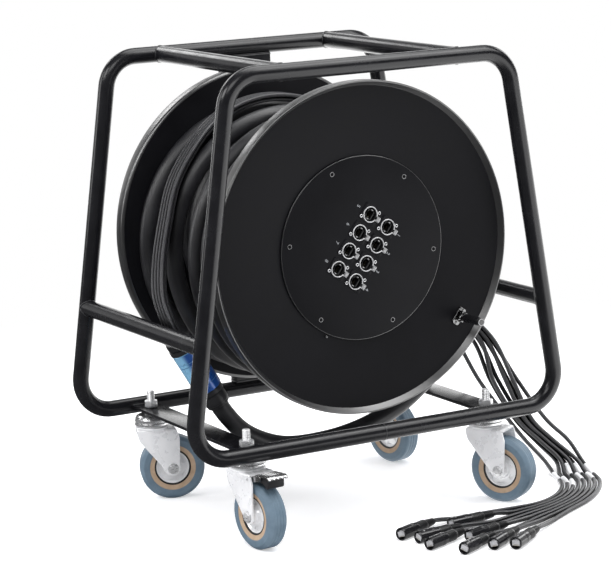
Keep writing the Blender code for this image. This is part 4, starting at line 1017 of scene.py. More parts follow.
def addPost():
    front = base["loopY"] - post["thick"] / 2
    back = base["loopY"] + post["thick"] / 2
    half = post["width"] / 2
    inset = stand["tube"] / 2 - post["sink"]
    low, high = stand["bottomZ"] + inset, stand["topZ"] - inset
    bm = block((-half, front, low), (half, back, high), post["edge"], 3)
    addPiece("upright", bm, framePaint, "stand", ("axle_post",))
    corners = ((-half, front), (half, front), (half, back), (-half, back))
    outline = roundCorners(corners, post["sink"], 3, True)
    for name, z in (("Low", low + post["beadLift"]), ("Top", high - post["beadLift"])):
        path = [Vector((x, y, z)) for x, y in outline]
        dense = []
        for a, b in zip(path, path[1:] + path[:1]):
            count = max(1, round((b - a).length / post["beadStep"]))
            dense += [a.lerp(b, i / count) for i in range(count)]
        bead = swept(dense, stand["beadRadius"], 8, closed=True)
        addWeld("uprightWeld" + name, bead)
    # The spindle runs towards the front, so its local Z points along -Y
    nutFace = -post["hubFront"] + base["seatGap"]
    tip = nutFace + post["nutHeight"] + post["tip"]
    shaft, collar = post["spindle"] / 2, post["collar"] / 2
    bevel, edge = post["spindleEdge"], post["collarEdge"]
    shoulder = -front + post["collarLength"]
    profile = [(0.0, tip), (shaft - bevel, tip), (shaft, tip - bevel), (shaft, shoulder)]
    profile += [(collar - edge, shoulder), (collar, shoulder - edge), (collar, -front - edge)]
    profile.append((0.0, -front - edge))
    addPiece("spindle", spun(profile, 48), turnedSteel, "stand", place=drumPlace)
    nut = hexNut(post["nutFlats"], nutFace, nutFace + post["nutHeight"], 0.0005)
    addPiece("spindleNut", nut, boltZinc, "stand", place=drumPlace)
    heads = []
    for i in range(4):
        spot = pointOnArc((0.0, base["axleZ"]), post["boltRing"], 45 + 90 * i)
        turn = moved(spot.x, back - 0.0002, spot.y) @ turned(-90.0, "X")
        heads.append(placed(hexNut(post["boltFlats"], 0.0, post["boltHead"], 0.0003), turn))
    addPiece("spindleBolts", together(*heads), boltZinc, "stand")


addLoop("frontLoop", -base["loopY"], "front_loop")
addLoop("rearLoop", base["loopY"], "rear_loop")
casterX = stand["bottomHalf"] - stand["casterInset"]
levelAxis = Vector((1.0, 0.0, 0.0))
for side, sign in (("Left", -1), ("Right", 1)):
    # The mid tubes meet legs that lean inward
    legAxis = Vector((sign * (legX(0.5) - legX(0.4)), 0.0, 0.1)).normalized()
    topX, midX = sign * stand["topTubeX"], sign * legX(stand["midTubeZ"])
    addCrossTube("topTube" + side, topX, stand["topZ"], levelAxis, "top_tube_" + side.lower())
    addCrossTube("midTube" + side, midX, stand["midTubeZ"], legAxis, "mid_tube_" + side.lower())
    addBar("casterBar" + side, sign, "caster_bar_" + side.lower())
addSeam()
addPost()
print("stand ready")


# Casters. Pairs in the tables of turned parts are steps from a radius and a height

caster = {
    "y": 0.156,
    "trail": 0.028,
    "wheelRadius": 0.05,
    "wheelHalf": 0.015,
    "treadHalf": 0.0095,
    "shoulder": 0.0045,
    "tanRadius": 0.036,
    "tanInner": 0.0282,
    "sealInner": 0.0256,
    "hubRadius": 0.012,
    "hubHalf": 0.017,
    "discHalf": 0.0108,
    "bore": 0.0053,
    "axleRadius": 0.005,
    "axleFlats": 0.013,
    "axleHead": 0.004,
    "wall": 0.003,
    "sideGap": 0.0016,
    "crownZ": 0.1115,
    "topLength": 0.05,
    "endRadius": 0.011,
    "raceRadius": 0.027,
    "raceZ": 0.118,
    "raceHeight": 0.016,
    "studRadius": 0.006,
    "studTop": 0.1715,
    "threadPitch": 0.00175,
    "threadDepth": 0.00055,
    "nutFlats": 0.019,
    "nutHeight": 0.01,
    "bossRadius": 0.012,
    "grooves": (-0.0052, 0.0, 0.0052),
    "grooveDepth": 0.00035,
    "grooveHalf": 0.0004,
    "raceFoot": (
        (-0.0012, 0.0), (0.0, 0.0012), (0.0, 0.0046), (-0.0011, 0.0056),
        (-0.0011, 0.0068), (0.0, 0.0078), (-0.0004, 0.0108),
    ),
    "raceTop": ((-0.003, -0.0016), (-0.006, 0.0)),
    "threadFrom": 0.002,
    "threadEnd": 0.0025,
    "studEdge": 0.0012,
    "forkFront": ((0.0, 0.0), (0.0004, -0.01), (0.003, -0.019)),
    "forkBack": ((0.015, -0.016), (0.01, 0.0)),
    "forkEnd": (200.0, 145.0, 14),
    "ridgeRound": 0.0042,
    "slotRound": 0.0018,
    "forkEdge": 0.0005,
    "crownSlope": 0.0042,
    "crownFoot": ((-0.0006, 0.0016), (-0.0006, -0.0006)),
    "washer": (
        (0.0, 0.0007), (0.008, 0.0007), (0.0084, 0.0003), (0.0084, -0.0006), (0.0, -0.0006),
    ),
    "boltEnd": (
        (0.0, 0.0046), (0.0032, 0.0046), (0.0036, 0.0042), (0.0036, 0.0006), (0.0, 0.0006),
    ),
    "tyreInner": ((-0.0005, -0.0006), (0.0012, 0.0)),
    "tyreShoulder": ((-0.0006, 0.0), (0.0, -0.0006)),
    "tyreTread": ((-0.0012, 0.002), (0.0, 0.0)),
    "tanSink": (0.0026, 0.0007),
    "tanOverlap": 0.0002,
    "sealInside": ((0.0, -0.004), (0.0004, -0.0029)),
    "sealOutside": ((0.0, -0.0023), (0.0003, -0.003)),
    "hubFace": ((-0.0035, 0.0), (-0.003, -0.0032), (0.0, -0.0042)),
    "discFoot": ((0.0016, -0.0022), (0.0036, -0.0028)),
    "discRim": ((-0.0022, -0.0028), (0.0002, 0.0004), (0.0002, -0.001)),
    "dimples": 6,
    "dimpleInset": (0.0046, 0.0036),
    "dimpleSpan": (12.0, 15.0),
    "dimpleDepth": (0.0046, 0.004),
    "dimpleRound": 0.0012,
}
casterPlaces = {
    "front_left": (-1, -1, -84.0),
    "front_right": (1, -1, -60.0),
    "rear_left": (-1, 1, -21.0),
    "rear_right": (1, 1, -80.0),
}
brakedCaster = "front_left"
forkInner = caster["hubHalf"] + caster["sideGap"]
forkOuter = forkInner + caster["wall"]


def addStem(corner, seat):
    barTop = stand["bottomZ"] + stand["barLift"]
    barFloor = barTop - stand["barThick"] - base["seatGap"]
    low, radius, boss = caster["raceZ"], caster["raceRadius"], caster["bossRadius"]
    high = low + caster["raceHeight"]
    cup = [(0.0, low)] + stepped(caster["raceFoot"], radius, low)
    cup += stepped(caster["raceTop"], radius, high)
    cup += [(boss, high), (boss, barFloor), (0.0, barFloor)]
    bm = spun(roundCorners(cup, 0.0008, 3), 56)
    addPiece("casterRace_" + corner, bm, zincRace, "stand",
             ("caster_stem_" + corner,), seat)
    stud, top, z = caster["studRadius"], caster["studTop"], barTop + 0.0005
    root = stud - caster["threadDepth"]
    thread = [(0.0, high - caster["threadFrom"]), (root, high - caster["threadFrom"])]
    while z < top - caster["threadEnd"]:
        thread += [(root, z), (stud, z + caster["threadPitch"] * 0.5)]
        z += caster["threadPitch"]
    thread += [(root, z), (stud - caster["studEdge"], top), (0.0, top)]
    addPiece("casterStud_" + corner, spun(thread, 32), boltZinc, "stand", (), seat)
    nutLow = barTop + base["seatGap"]
    nut = hexNut(caster["nutFlats"], nutLow, nutLow + caster["nutHeight"], 0.0003)
    turn = Matrix.Rotation(0.3 * len(corner), 4, "Z")
    addPiece("casterNut_" + corner, nut, boltZinc, "stand", (), seat @ turn)


def forkOutline(top):
    # Down the front edge, round the axle and up the back edge
    half, axle = caster["topLength"] / 2, (caster["trail"], caster["wheelRadius"])
    start, turn, steps = caster["forkEnd"]
    outline = [Vector(spot) for spot in stepped(caster["forkFront"], -half, top)]
    for i in range(steps + 1):
        outline.append(pointOnArc(axle, caster["endRadius"], start + turn * i / steps))
    return outline + [Vector(spot) for spot in stepped(caster["forkBack"], half, top)]


def addFork(corner, seat):
    body, crownZ = "fork_" + corner, caster["crownZ"]
    trail, axleZ, top = caster["trail"], caster["wheelRadius"], crownZ + caster["wall"]
    shell = slab(forkOutline(top), -forkOuter, forkOuter)
    placed(shell, turned(90.0, "X"))
    bevelled(shell, edgesAt(shell, top), caster["ridgeRound"], 5)
    # The gap for the wheel, open below
    gap = block((-0.08, -forkInner, 0.0), (0.12, forkInner, crownZ))
    bevelled(gap, edgesAt(gap, crownZ, lengthwise=True), caster["slotRound"], 3)
    bm = softEdges(carved(shell, gap), caster["forkEdge"], 2, 50.0)
    addPiece("casterFork_" + corner, bm, zincPlate, body,
             ("caster_fork_" + corner,), seat)
    radius, crownTop = caster["raceRadius"], caster["raceZ"] - base["seatGap"]
    crown = [(0.0, crownTop), (radius - caster["crownSlope"], crownTop)]
    crown += stepped(caster["crownFoot"], radius, top)
    crown.append((0.0, crown[-1][1]))
    bm = spun(roundCorners(crown, 0.0007, 3), 56)
    addPiece("forkCrown_" + corner, bm, zincPlate, body, (), seat)
    bolts = []
    for side in (-1, 1):
        turn = moved(trail, side * forkOuter, axleZ) @ turned(-90.0 * side, "X")
        head = hexNut(caster["axleFlats"], 0.0005, caster["axleHead"], 0.0003)
        bolt = together(spun(caster["washer"], 28), head, spun(caster["boltEnd"], 20))
        bolts.append(placed(bolt, turn))
    pin = rod((trail, -forkOuter, axleZ), (trail, forkOuter, axleZ), caster["axleRadius"], 20)
    bm = together(pin, *bolts)
    addPiece("axleBolt_" + corner, bm, boltZinc, body, (), seat)


def addWheel(corner, seat):
    body = "wheel_" + corner
    radius, half, tread = caster["wheelRadius"], caster["wheelHalf"], caster["treadHalf"]
    turn = seat @ moved(caster["trail"], 0.0, radius) @ turned(90.0, "X")
    side = stepped(caster["tyreInner"], caster["tanRadius"], half)
    side += stepped(caster["tyreShoulder"], radius - caster["shoulder"], half)
    side += stepped(caster["tyreTread"], radius, tread)
    side = roundCorners(side, 0.0012, 3)
    depth, width = caster["grooveDepth"], caster["grooveHalf"]
    lines = []
    for z in reversed(caster["grooves"]):
        lines += [(radius, z + width), (radius - depth, z), (radius, z - width)]
    profile = list(side) + lines + [(r, -h) for r, h in reversed(side)]
    addPiece("tyre_" + corner, spun(profile, 96, closed=True), tyreRubber, body,
             ("caster_wheel_" + corner,), turn, 50.0)
    tanInner, sealInner = caster["tanInner"], caster["sealInner"]
    tanReach, (deep, flat) = caster["tanRadius"] - caster["tanOverlap"], caster["tanSink"]
    bm = spun(mirrored([(tanInner, half - deep), (tanReach, half - flat)]), 72, closed=True)
    addPiece("tanRing_" + corner, bm, tanRubber, body, (), turn)
    seal = stepped(caster["sealInside"], sealInner, half)
    seal += stepped(caster["sealOutside"], tanInner, half)
    bm = spun(mirrored(seal), 64, closed=True)
    addPiece("rimSeal_" + corner, bm, sealRubber, body, (), turn)
    hub, disc = caster["hubRadius"], caster["discHalf"]
    face = [(caster["bore"], caster["hubHalf"])]
    face += stepped(caster["hubFace"], hub, caster["hubHalf"])
    face += stepped(caster["discFoot"], hub, disc) + stepped(caster["discRim"], sealInner, disc)
    bm = spun(mirrored(roundCorners(face, 0.0008, 3)), 60, closed=True)
    # Stamped dimples on both sides
    count, (inset, outset) = caster["dimples"], caster["dimpleInset"]
    near, far = hub + inset, sealInner - outset
    (narrow, wide), (deep, clear) = caster["dimpleSpan"], caster["dimpleDepth"]
    dimples = []
    for i in range(2 * count):
        middle = 360.0 / count * (i % count + 0.5)
        spots = ((near, -narrow), (far, -wide), (far, wide), (near, narrow))
        wedge = [pointOnArc((0.0, 0.0), reach, middle + angle) for reach, angle in spots]
        wedge = roundCorners(wedge, caster["dimpleRound"], 3, True)
        flip = turned(180.0 * (i // count), "X")
        dimples.append(placed(slab(wedge, disc - deep, disc + clear), flip))
    bm = softEdges(carved(bm, together(*dimples)), 0.0004, 2, 60.0)
    addPiece("wheelDisc_" + corner, bm, zincDisc, body, (), turn, 28.0)


pedal = {
    "pinX": 0.03,
    "pinZ": 0.106,
    "pinRadius": 0.002,
    "pinProud": 0.0006,
    "reach": 0.079,
    "width": 0.034,
    "rise": 0.0105,
    "plate": 0.0024,
    "root": ((-0.004, 0.003), (0.006, 0.0042)),
    "bend": (0.015, -0.0016),
    "lip": ((-0.006, 0.0), (-0.0004, -0.0042)),
    "notches": (-0.0104, -0.0035, 0.0035, 0.0104),
    "notchHalf": 0.0019,
    "notchDepth": 0.0026,
    "ribFrom": (0.02, -0.0012),
    "ribStep": (0.006, 0.0004),
    "ribInset": 0.004,
    "ribRadius": 0.0011,
    "cheek": (
        (-0.0042, -0.003), (-0.0042, 0.0036), (0.018, 0.0076),
        (0.03, 0.007), (0.024, 0.0005), (0.004, -0.0042),
    ),
    "cheekThick": (0.0011, 0.0003),
    "knuckle": 0.004,
    "knuckleInset": 0.001,
    "shoe": (
        (0.012, -0.001), (0.029, -0.0026), (0.033, -0.0066), (0.0385, -0.0092),
        (0.0415, -0.0066),
    ),
    "shoeTop": ((0.0415, -0.003), (0.018, -0.0044)),
    "shoeInset": 0.003,
}


def addPedal(seat):
    place = seat @ moved(pedal["pinX"], 0.0, pedal["pinZ"])
    upright = turned(90.0, "X")
    half, rise, plate = pedal["width"] / 2, pedal["rise"], pedal["plate"]
    reach = pedal["reach"] - pedal["pinX"]
    # Plate: rises from the pin, then runs out flat with its lip turned down
    top = list(pedal["root"]) + stepped([pedal["bend"]], 0.0, rise)
    top = roundCorners(top + stepped(pedal["lip"], reach, rise), 0.004, 4)
    under = []
    for i, spot in enumerate(top):
        before = top[max(i - 1, 0)]
        after = top[min(i + 1, len(top) - 1)]
        way = (after - before).normalized()
        under.append(spot + Vector((way.y, -way.x)) * plate)
    sheet = placed(slab(list(top) + under[::-1], -half, half), upright)
    low, wide = reach - pedal["notchDepth"], pedal["notchHalf"]
    notches = []
    for y in pedal["notches"]:
        notches.append(block((low, y - wide, -0.002), (reach + 0.004, y + wide, rise + 0.002)))
    sheet = softEdges(carved(sheet, together(*notches)), 0.0005, 2, 50.0)
    ribs, cheeks = [], []
    (startX, startZ), (stepX, stepZ) = pedal["ribFrom"], pedal["ribStep"]
    for i in range(4):
        x, y, z = startX + stepX * i, half - pedal["ribInset"], rise + startZ + stepZ * i
        ribs.append(rod((x, -y, z), (x, y, z), pedal["ribRadius"], 12, 0.0004))
    inner, outer = pedal["cheekThick"]
    for side in (-1, 1):
        outline = roundCorners(pedal["cheek"], 0.0024, 4, True)
        cheek = slab(outline, side * half - inner, side * half + outer * side, 0.0003)
        cheeks.append(placed(cheek, upright))
    y = half - pedal["knuckleInset"]
    knuckle = rod((0.0, -y, 0.0), (0.0, y, 0.0), pedal["knuckle"], 20, 0.0005)
    bm = together(sheet, knuckle, *ribs, *cheeks)
    addPiece("brakePlate", bm, pedalSteel, "brake", ("brake_pedal",), place)
    shoe = list(pedal["shoe"]) + stepped(pedal["shoeTop"], 0.0, rise)
    y = half - pedal["shoeInset"]
    pad = placed(slab(roundCorners(shoe, 0.0012, 3, True), -y, y), upright)
    bm = softEdges(pad, 0.0005, 2, 45.0)
    addPiece("brakeShoe", bm, shoeRubber, "brake", (), place)
    y = forkOuter + pedal["pinProud"]
    pin = rod((0.0, -y, 0.0), (0.0, y, 0.0), pedal["pinRadius"], 16, 0.0003)
    addPiece("brakePin", pin, boltZinc, "fork_" + brakedCaster, (), place)


for corner, (sideX, sideY, angle) in casterPlaces.items():
    seat = moved(sideX * casterX, sideY * caster["y"], 0.0)
    addStem(corner, seat)
    seat = seat @ turned(angle, "Z")
    addFork(corner, seat)
    addWheel(corner, seat)
    if corner == brakedCaster:
        addPedal(seat)
print("casters ready")


# Drum. In its frame Z points out of the front flange

drum = {
    "radius": 0.2465,
    "rimWidth": 0.02,
    "web": 0.0115,
    "lip": 0.0022,
    "draft": 0.006,
    "edgeRound": 0.0012,
    "round": 0.0045,
    "crest": 0.0005,
    "dish": 0.0012,
    "frontInner": 0.1385,
    "rearInner": -0.147,
    "frontBore": 0.105,
    "rearBore": 0.0336,
    "rimFrom": 0.2384,
    "steps": 180,
}
panel = {
    "radius": 0.1365,
    "low": 0.1503,
    "face": 0.1528,
    "edgeWidth": 0.0009,
    "screwRing": 0.1229,
    "screwStart": -22.8,
    "screwRadius": 0.003,
    "screwHead": 0.0012,
    "tilt": 37.36,
    "rows": 4,
    "rowPitch": 0.0313,
    "columnPitch": 0.036,
    "round": 0.001,
    "pocket": 0.0007,
    "screwCross": 0.0024,
    "screwRim": ((-0.0002, 0.0), (-0.0002, 0.00035), (0.0004, 0.00035), (0.0005, 0.0)),
    "rivet": (
        (0.0, 0.0007), (0.0012, 0.0006), (0.0019, 0.0001), (0.0019, -0.0004), (0.0, -0.0004),
    ),
    "rivetSpot": (-0.066, -0.1242),
}
socket = {
    "width": 0.026,
    "height": 0.031,
    "corner": 0.0025,
    "plate": 0.0008,
    "hole": 0.0119,
    "ringRadius": 0.01135,
    "ringWire": 0.00085,
    "ringOpening": 16.0,
    "cupOuter": 0.0106,
    "cupInner": 0.0097,
    "cupFloor": 0.129,
    "jackWidth": 0.0119,
    "jackHeight": 0.0086,
    "jackFace": 0.1518,
    "jackDepth": 0.014,
    "latchWidth": 0.008,
    "latchHeight": 0.0054,
    "latchRise": 0.0155,
    "latchProud": 0.0026,
    "latchDepth": 0.0037,
    "latchGap": 0.0003,
    "screwSpots": ((0.0095, -0.012), (-0.0095, 0.012)),
    "screwRadius": 0.0025,
    "screwHole": 0.0014,
    "digitReach": 0.024,
    "digitSize": 0.0078,
    "digitThick": 0.00006,
    "digitLift": 0.00008,
    "plateEdge": 0.00035,
    "cupLip": 0.0006,
    "cupWall": 0.0002,
    "jackHalf": (0.007, 0.006),
    "notchHalf": 0.003,
    "notch": (0.0012, 0.001),
    "contacts": 8,
    "contactPitch": 0.00102,
    "contactWire": 0.00022,
    "contact": ((-0.0004, -0.012), (-0.0008, -0.003), (-0.0052, -0.0105)),
    "springX": 0.0073,
    "springHalf": (0.0007, 0.0016),
    "springProud": 0.0009,
    "ringTail": 0.0022,
    "rivetInside": ((0.0, -0.0004), (0.0, 0.0006), (0.0004, 0.0009)),
    "rivetOutside": ((-0.0004, 0.0008), (0.0, 0.0003), (0.0, -0.0004)),
    "ridgePitch": 0.0024,
    "ridgeInset": 0.001,
    "ridgeRadius": 0.00062,
    "over": 0.001,
}


def copiesAt(bm, places):
    whole = bmesh.new()
    mesh = bpy.data.meshes.new("copy")
    bm.to_mesh(mesh)
    bm.free()
    for place in places:
        lump = mesh.copy()
        lump.transform(place)
        whole.from_mesh(lump)
        bpy.data.meshes.remove(lump)
    bpy.data.meshes.remove(mesh)
    return whole


def addFlange(name, node, inner, outward, bore):
    radius, width, web = drum["radius"], drum["rimWidth"], drum["web"]
    lip = radius - drum["lip"]
    middle = (radius, width / 2.0)
    outer = roundCorners([(lip, width), (radius, width), middle], drum["edgeRound"], 4)[:-1]
    outer += roundCorners([middle, (radius, 0.0), (bore, 0.0)], drum["round"], 6)[1:]
    wall = [(lip - drum["draft"], web), (lip, width)]
    dish = roundCorners([(bore, 0.0), (bore, web)] + wall, drum["dish"], 3)
    crest = roundCorners(wall + [(radius, width)], drum["crest"], 5)
    profile = [tuple(spot) for spot in outer[1:-1] + dish[:-1] + crest[1:-1]]
    if outward < 0:
        profile = [(r, -height) for r, height in profile]
    bm = spun(profile, drum["steps"], closed=True)
    place = drumPlace @ moved(0.0, 0.0, inner)
    piece = addPiece(name, bm, flangePaint, "drum", (node,), place)
    paintRim(piece, drum["rimFrom"], rimPaint)


def socketFrames():
    turn, lie = turned(-panel["tilt"], "Z"), turned(-90.0, "Z")
    places = []
    for x in spread(2, panel["columnPitch"]):
        for y in spread(panel["rows"], -panel["rowPitch"]):
            places.append(turn @ moved(x, y, 0.0) @ lie)
    return places


sockets = socketFrames()


def latchBox(grow, low, high):
    half = socket["latchWidth"] / 2 + grow
    rise, reach = socket["latchRise"], socket["latchHeight"] / 2 + grow
    return block((-half, rise - reach, low), (half, rise + reach, high))


def addPanel():
    low, face, radius, over = panel["low"], panel["face"], panel["radius"], socket["over"]
    corners = [(0.0, low), (radius, low), (radius, face), (0.0, face)]
    bm = spun(roundCorners(corners, panel["round"], 3), 144)
    hole = rod((0.0, 0.0, low - over), (0.0, 0.0, face + over), socket["hole"], 48)
    pocket = latchBox(socket["latchGap"], low + panel["pocket"], face + over)
    bm = carved(carved(bm, copiesAt(hole, sockets)), copiesAt(pocket, sockets))
    piece = addToDrum("socketPanel", bm, panelPaint, ("socket_panel",))
    paintRim(piece, radius - panel["edgeWidth"], rimPaint)


def addToDrum(name, bm, material, replaces=()):
    return addPiece(name, bm, material, "drum", replaces, drumPlace)


def addToSockets(name, bm, material):
    addToDrum(name, copiesAt(bm, sockets), material)


def addSocketPlates():
    low, high, over = panel["face"] - 0.0001, panel["face"] + socket["plate"], socket["over"]
    wide, tall = socket["width"] / 2, socket["height"] / 2
    bm = slab(roundCorners(oblong(wide, tall), socket["corner"], 5, True), low, high)
    bm = carved(bm, rod((0.0, 0.0, low - over), (0.0, 0.0, high + over), socket["hole"], 48))
    bm = carved(bm, latchBox(socket["latchGap"], low - over, high + over))
    addToSockets("socketPlates", softEdges(bm, socket["plateEdge"], 2, 50.0), platePaint)


def addSocketInsides():
    face, over = panel["face"] + socket["plate"], socket["over"]
    outer, inner, floor = socket["cupOuter"], socket["cupInner"], socket["cupFloor"]
    seat, lip = socket["hole"] + socket["cupWall"], face + socket["cupLip"]
    cup = [(0.0, floor - over), (seat, floor - over), (seat, panel["low"]), (outer, panel["low"])]
    cup += [(outer, lip), (inner, lip), (inner, floor), (0.0, floor)]
    addToSockets("socketShells", spun(roundCorners(cup, 0.0003, 2), 48), jackPlastic)
    # The jack with its mouth, and the narrower notch for a plug's catch
    wide, tall, front = socket["jackWidth"] / 2, socket["jackHeight"] / 2, socket["jackFace"]
    (halfX, halfY), deep = socket["jackHalf"], front - socket["jackDepth"]
    jack = block((-halfX, -halfY, floor), (halfX, halfY, front), 0.0003)
    jack = carved(jack, block((-wide, -tall, deep), (wide, tall, front + over)))
    narrow, (below, above) = socket["notchHalf"], socket["notch"]
    notch = block((-narrow, -tall - below, deep), (narrow, -tall + above, front + over))
    addToSockets("socketJacks", carved(jack, notch), jackPlastic)
    wires, tabs = [], []
    bend = roundCorners(stepped(socket["contact"], tall, front), 0.0009, 4)
    for x in spread(socket["contacts"], socket["contactPitch"]):
        wires.append(swept([Vector((x, y, z)) for y, z in bend], socket["contactWire"], 6))
    addToSockets("socketContacts", together(*wires), contactGold)
    halfX, halfY = socket["springHalf"]
    for side in (-1, 1):
        x, tip = side * socket["springX"], front + socket["springProud"]
        tabs.append(block((x - halfX, -halfY, floor), (x + halfX, halfY, tip), 0.0004, 3))
    addToSockets("socketSprings", together(*tabs), latchSteel)


def addSocketRings():
    height = panel["face"] + socket["plate"] + socket["ringWire"] * 0.6
    opening, steps = socket["ringOpening"], 72
    path = []
    for i in range(steps + 1):
        angle = 90 + opening + (360 - 2 * opening) * i / steps
        path.append(Vector((*pointOnArc((0.0, 0.0), socket["ringRadius"], angle), height)))
    # The two ends run outward to the latch
    tail = Vector((0.0, socket["ringTail"], 0.0))
    path = [path[0] + tail] + path + [path[-1] + tail]
    addToSockets("socketRings", swept(path, socket["ringWire"], 12), socketNickel)


def crossScrew(radius, height, recess):
    # A low domed head with a cross cut into it
    dome = ((0.0, 1.0), (0.55, 0.94), (0.88, 0.62), (1.0, 0.1))
    profile = [(radius * across, height * up) for across, up in dome]
    head = spun(profile + [(radius, -0.0005), (0.0, -0.0005)], 28)
    for turn in (0.0, 90.0):
        bar = block((-recess, -0.00035, height * 0.35), (recess, 0.00035, height + 0.001))
        head = carved(head, placed(bar, turned(turn, "Z")))
    return head


def addSocketScrews():
    # Hollow rivets: a bright rim about a dark hole
    face = panel["face"] + socket["plate"]
    rim = stepped(socket["rivetInside"], socket["screwHole"])
    rim += stepped(socket["rivetOutside"], socket["screwRadius"])
    places = [moved(*spot, face) for spot in socket["screwSpots"]]
    pair = copiesAt(spun(rim, 28, closed=True), places)
    addToSockets("socketRivets", pair, rivetNickel)


def addLatch(i, spot):
    name = str(i + 1)
    half, reach = socket["latchWidth"] / 2, socket["latchHeight"] / 2
    face, rise = panel["face"] + socket["plate"], socket["latchRise"]
    high = face + socket["latchProud"]
    low = (-half, rise - reach, high - socket["latchDepth"])
    parts = [block(low, (half, rise + reach, high), 0.0007, 3)]
    length = reach - socket["ridgeInset"]
    for x in spread(3, socket["ridgePitch"]):
        start, end = (x, rise - length, high), (x, rise + length, high)
        parts.append(rod(start, end, socket["ridgeRadius"], 10, 0.0001))
    addPiece("socketLatch" + name, together(*parts), latchSteel, "latch_" + name,
             ("socket_latch_" + name,), drumPlace @ spot)


def addPanelScrews():
    # Grey steel rings round the black screw heads are a painted highlight of their lit edges
    heads, rims, radius = [], [], panel["screwRadius"]
    for i in range(6):
        angle = math.radians(panel["screwStart"] + i * 60.0)
        x, y = panel["screwRing"] * math.sin(angle), panel["screwRing"] * math.cos(angle)
        place = moved(x, y, panel["face"]) @ Matrix.Rotation(angle * 3.0, 4, "Z")
        head = crossScrew(radius, panel["screwHead"], panel["screwCross"])
        heads.append(placed(head, place))
        rims.append(placed(spun(stepped(panel["screwRim"], radius), 36, closed=True), place))
    addToDrum("panelScrews", together(*heads), platePaint)
    addToDrum("panelScrewRims", together(*rims), dimSteel)
    place = moved(*panel["rivetSpot"], panel["face"])
    addToDrum("panelRivet", placed(spun(panel["rivet"], 20), place), dimSteel)


def addDigit(number, spot, reach):
    # Plain digits, read with the sockets lying on their sides
    curve = bpy.data.curves.new("digit", "FONT")
    curve.body = str(number)
    curve.size = socket["digitSize"]
    curve.align_x = "CENTER"
    curve.align_y = "CENTER"
    curve.extrude = socket["digitThick"]
    curve.offset = socket["digitThick"]
    curve.resolution_u = 4
    text = newObject("digit", curve)
    graph = bpy.context.evaluated_depsgraph_get()
    mesh = bpy.data.meshes.new_from_object(text.evaluated_get(graph))
    bpy.data.objects.remove(text, do_unlink=True)
    bm = bmesh.new()
    bm.from_mesh(mesh)
    bpy.data.meshes.remove(mesh)
    bmesh.ops.remove_doubles(bm, verts=bm.verts, dist=base["mergeGap"])
    bmesh.ops.recalc_face_normals(bm, faces=bm.faces)
    lift = panel["face"] + socket["digitLift"]
    return placed(bm, spot @ moved(0.0, reach, lift))


addFlange("frontFlange", "front_flange", drum["frontInner"], 1, drum["frontBore"])
addFlange("rearFlange", "rear_flange", drum["rearInner"], -1, drum["rearBore"])
addPanel()
addSocketPlates()
addSocketInsides()
addSocketRings()
addSocketScrews()
digits = []
for i, spot in enumerate(sockets):
    # The left column comes first and holds the sockets with the higher numbers
    isLeft = i < panel["rows"]
    number = i + 1 + panel["rows"] if isLeft else i + 1 - panel["rows"]
    addLatch(i, spot)
    digits.append(addDigit(number, spot, -socket["digitReach"] if isLeft else socket["digitReach"]))
addToDrum("socketDigits", together(*digits), digitPaint)
addPanelScrews()
for nodeName, nodeMaterial in (("drum_core", corePaint), ("hub_bearing", turnedSteel)):
    node = bpy.data.objects[nodeName]
    for materialSlot in node.material_slots:
        materialSlot.material = nodeMaterial
print("drum ready")


# Crank on the front flange. In its frame X runs along the fold pin, Y to the axle and Z outward

crank = {
    "x": 0.1645,
    "z": -0.123,
    "face": 0.1503,
    "baseLength": 0.028,
    "baseWidth": 0.013,
    "baseThick": 0.003,
    "earIn": 0.0048,
    "earOut": 0.0078,
    "earRadius": 0.0057,
    "pinHeight": 0.01,
    "pinRadius": 0.002,
    "knuckle": 0.0045,
    "knuckleRadius": 0.005,
    "shank": 0.003,
    "grip": 0.00625,
    "collar": 0.0065,
    "disc": 0.003,
    "tip": 0.053,
    "sleeveGap": 0.0003,
    "footRound": 0.004,
    "earSink": 0.0006,
    "earSteps": 12,
    "screw": (0.0022, 0.0009, 0.0013),
    "screwInset": 0.0032,
    "pinProud": 0.001,
    "pinGap": 0.0002,
    "armLow": 0.0035,
    "endLitRing": ((-0.0019, -0.0004), (-0.0019, 0.0002), (-0.001, 0.0002), (-0.001, -0.0004)),
}


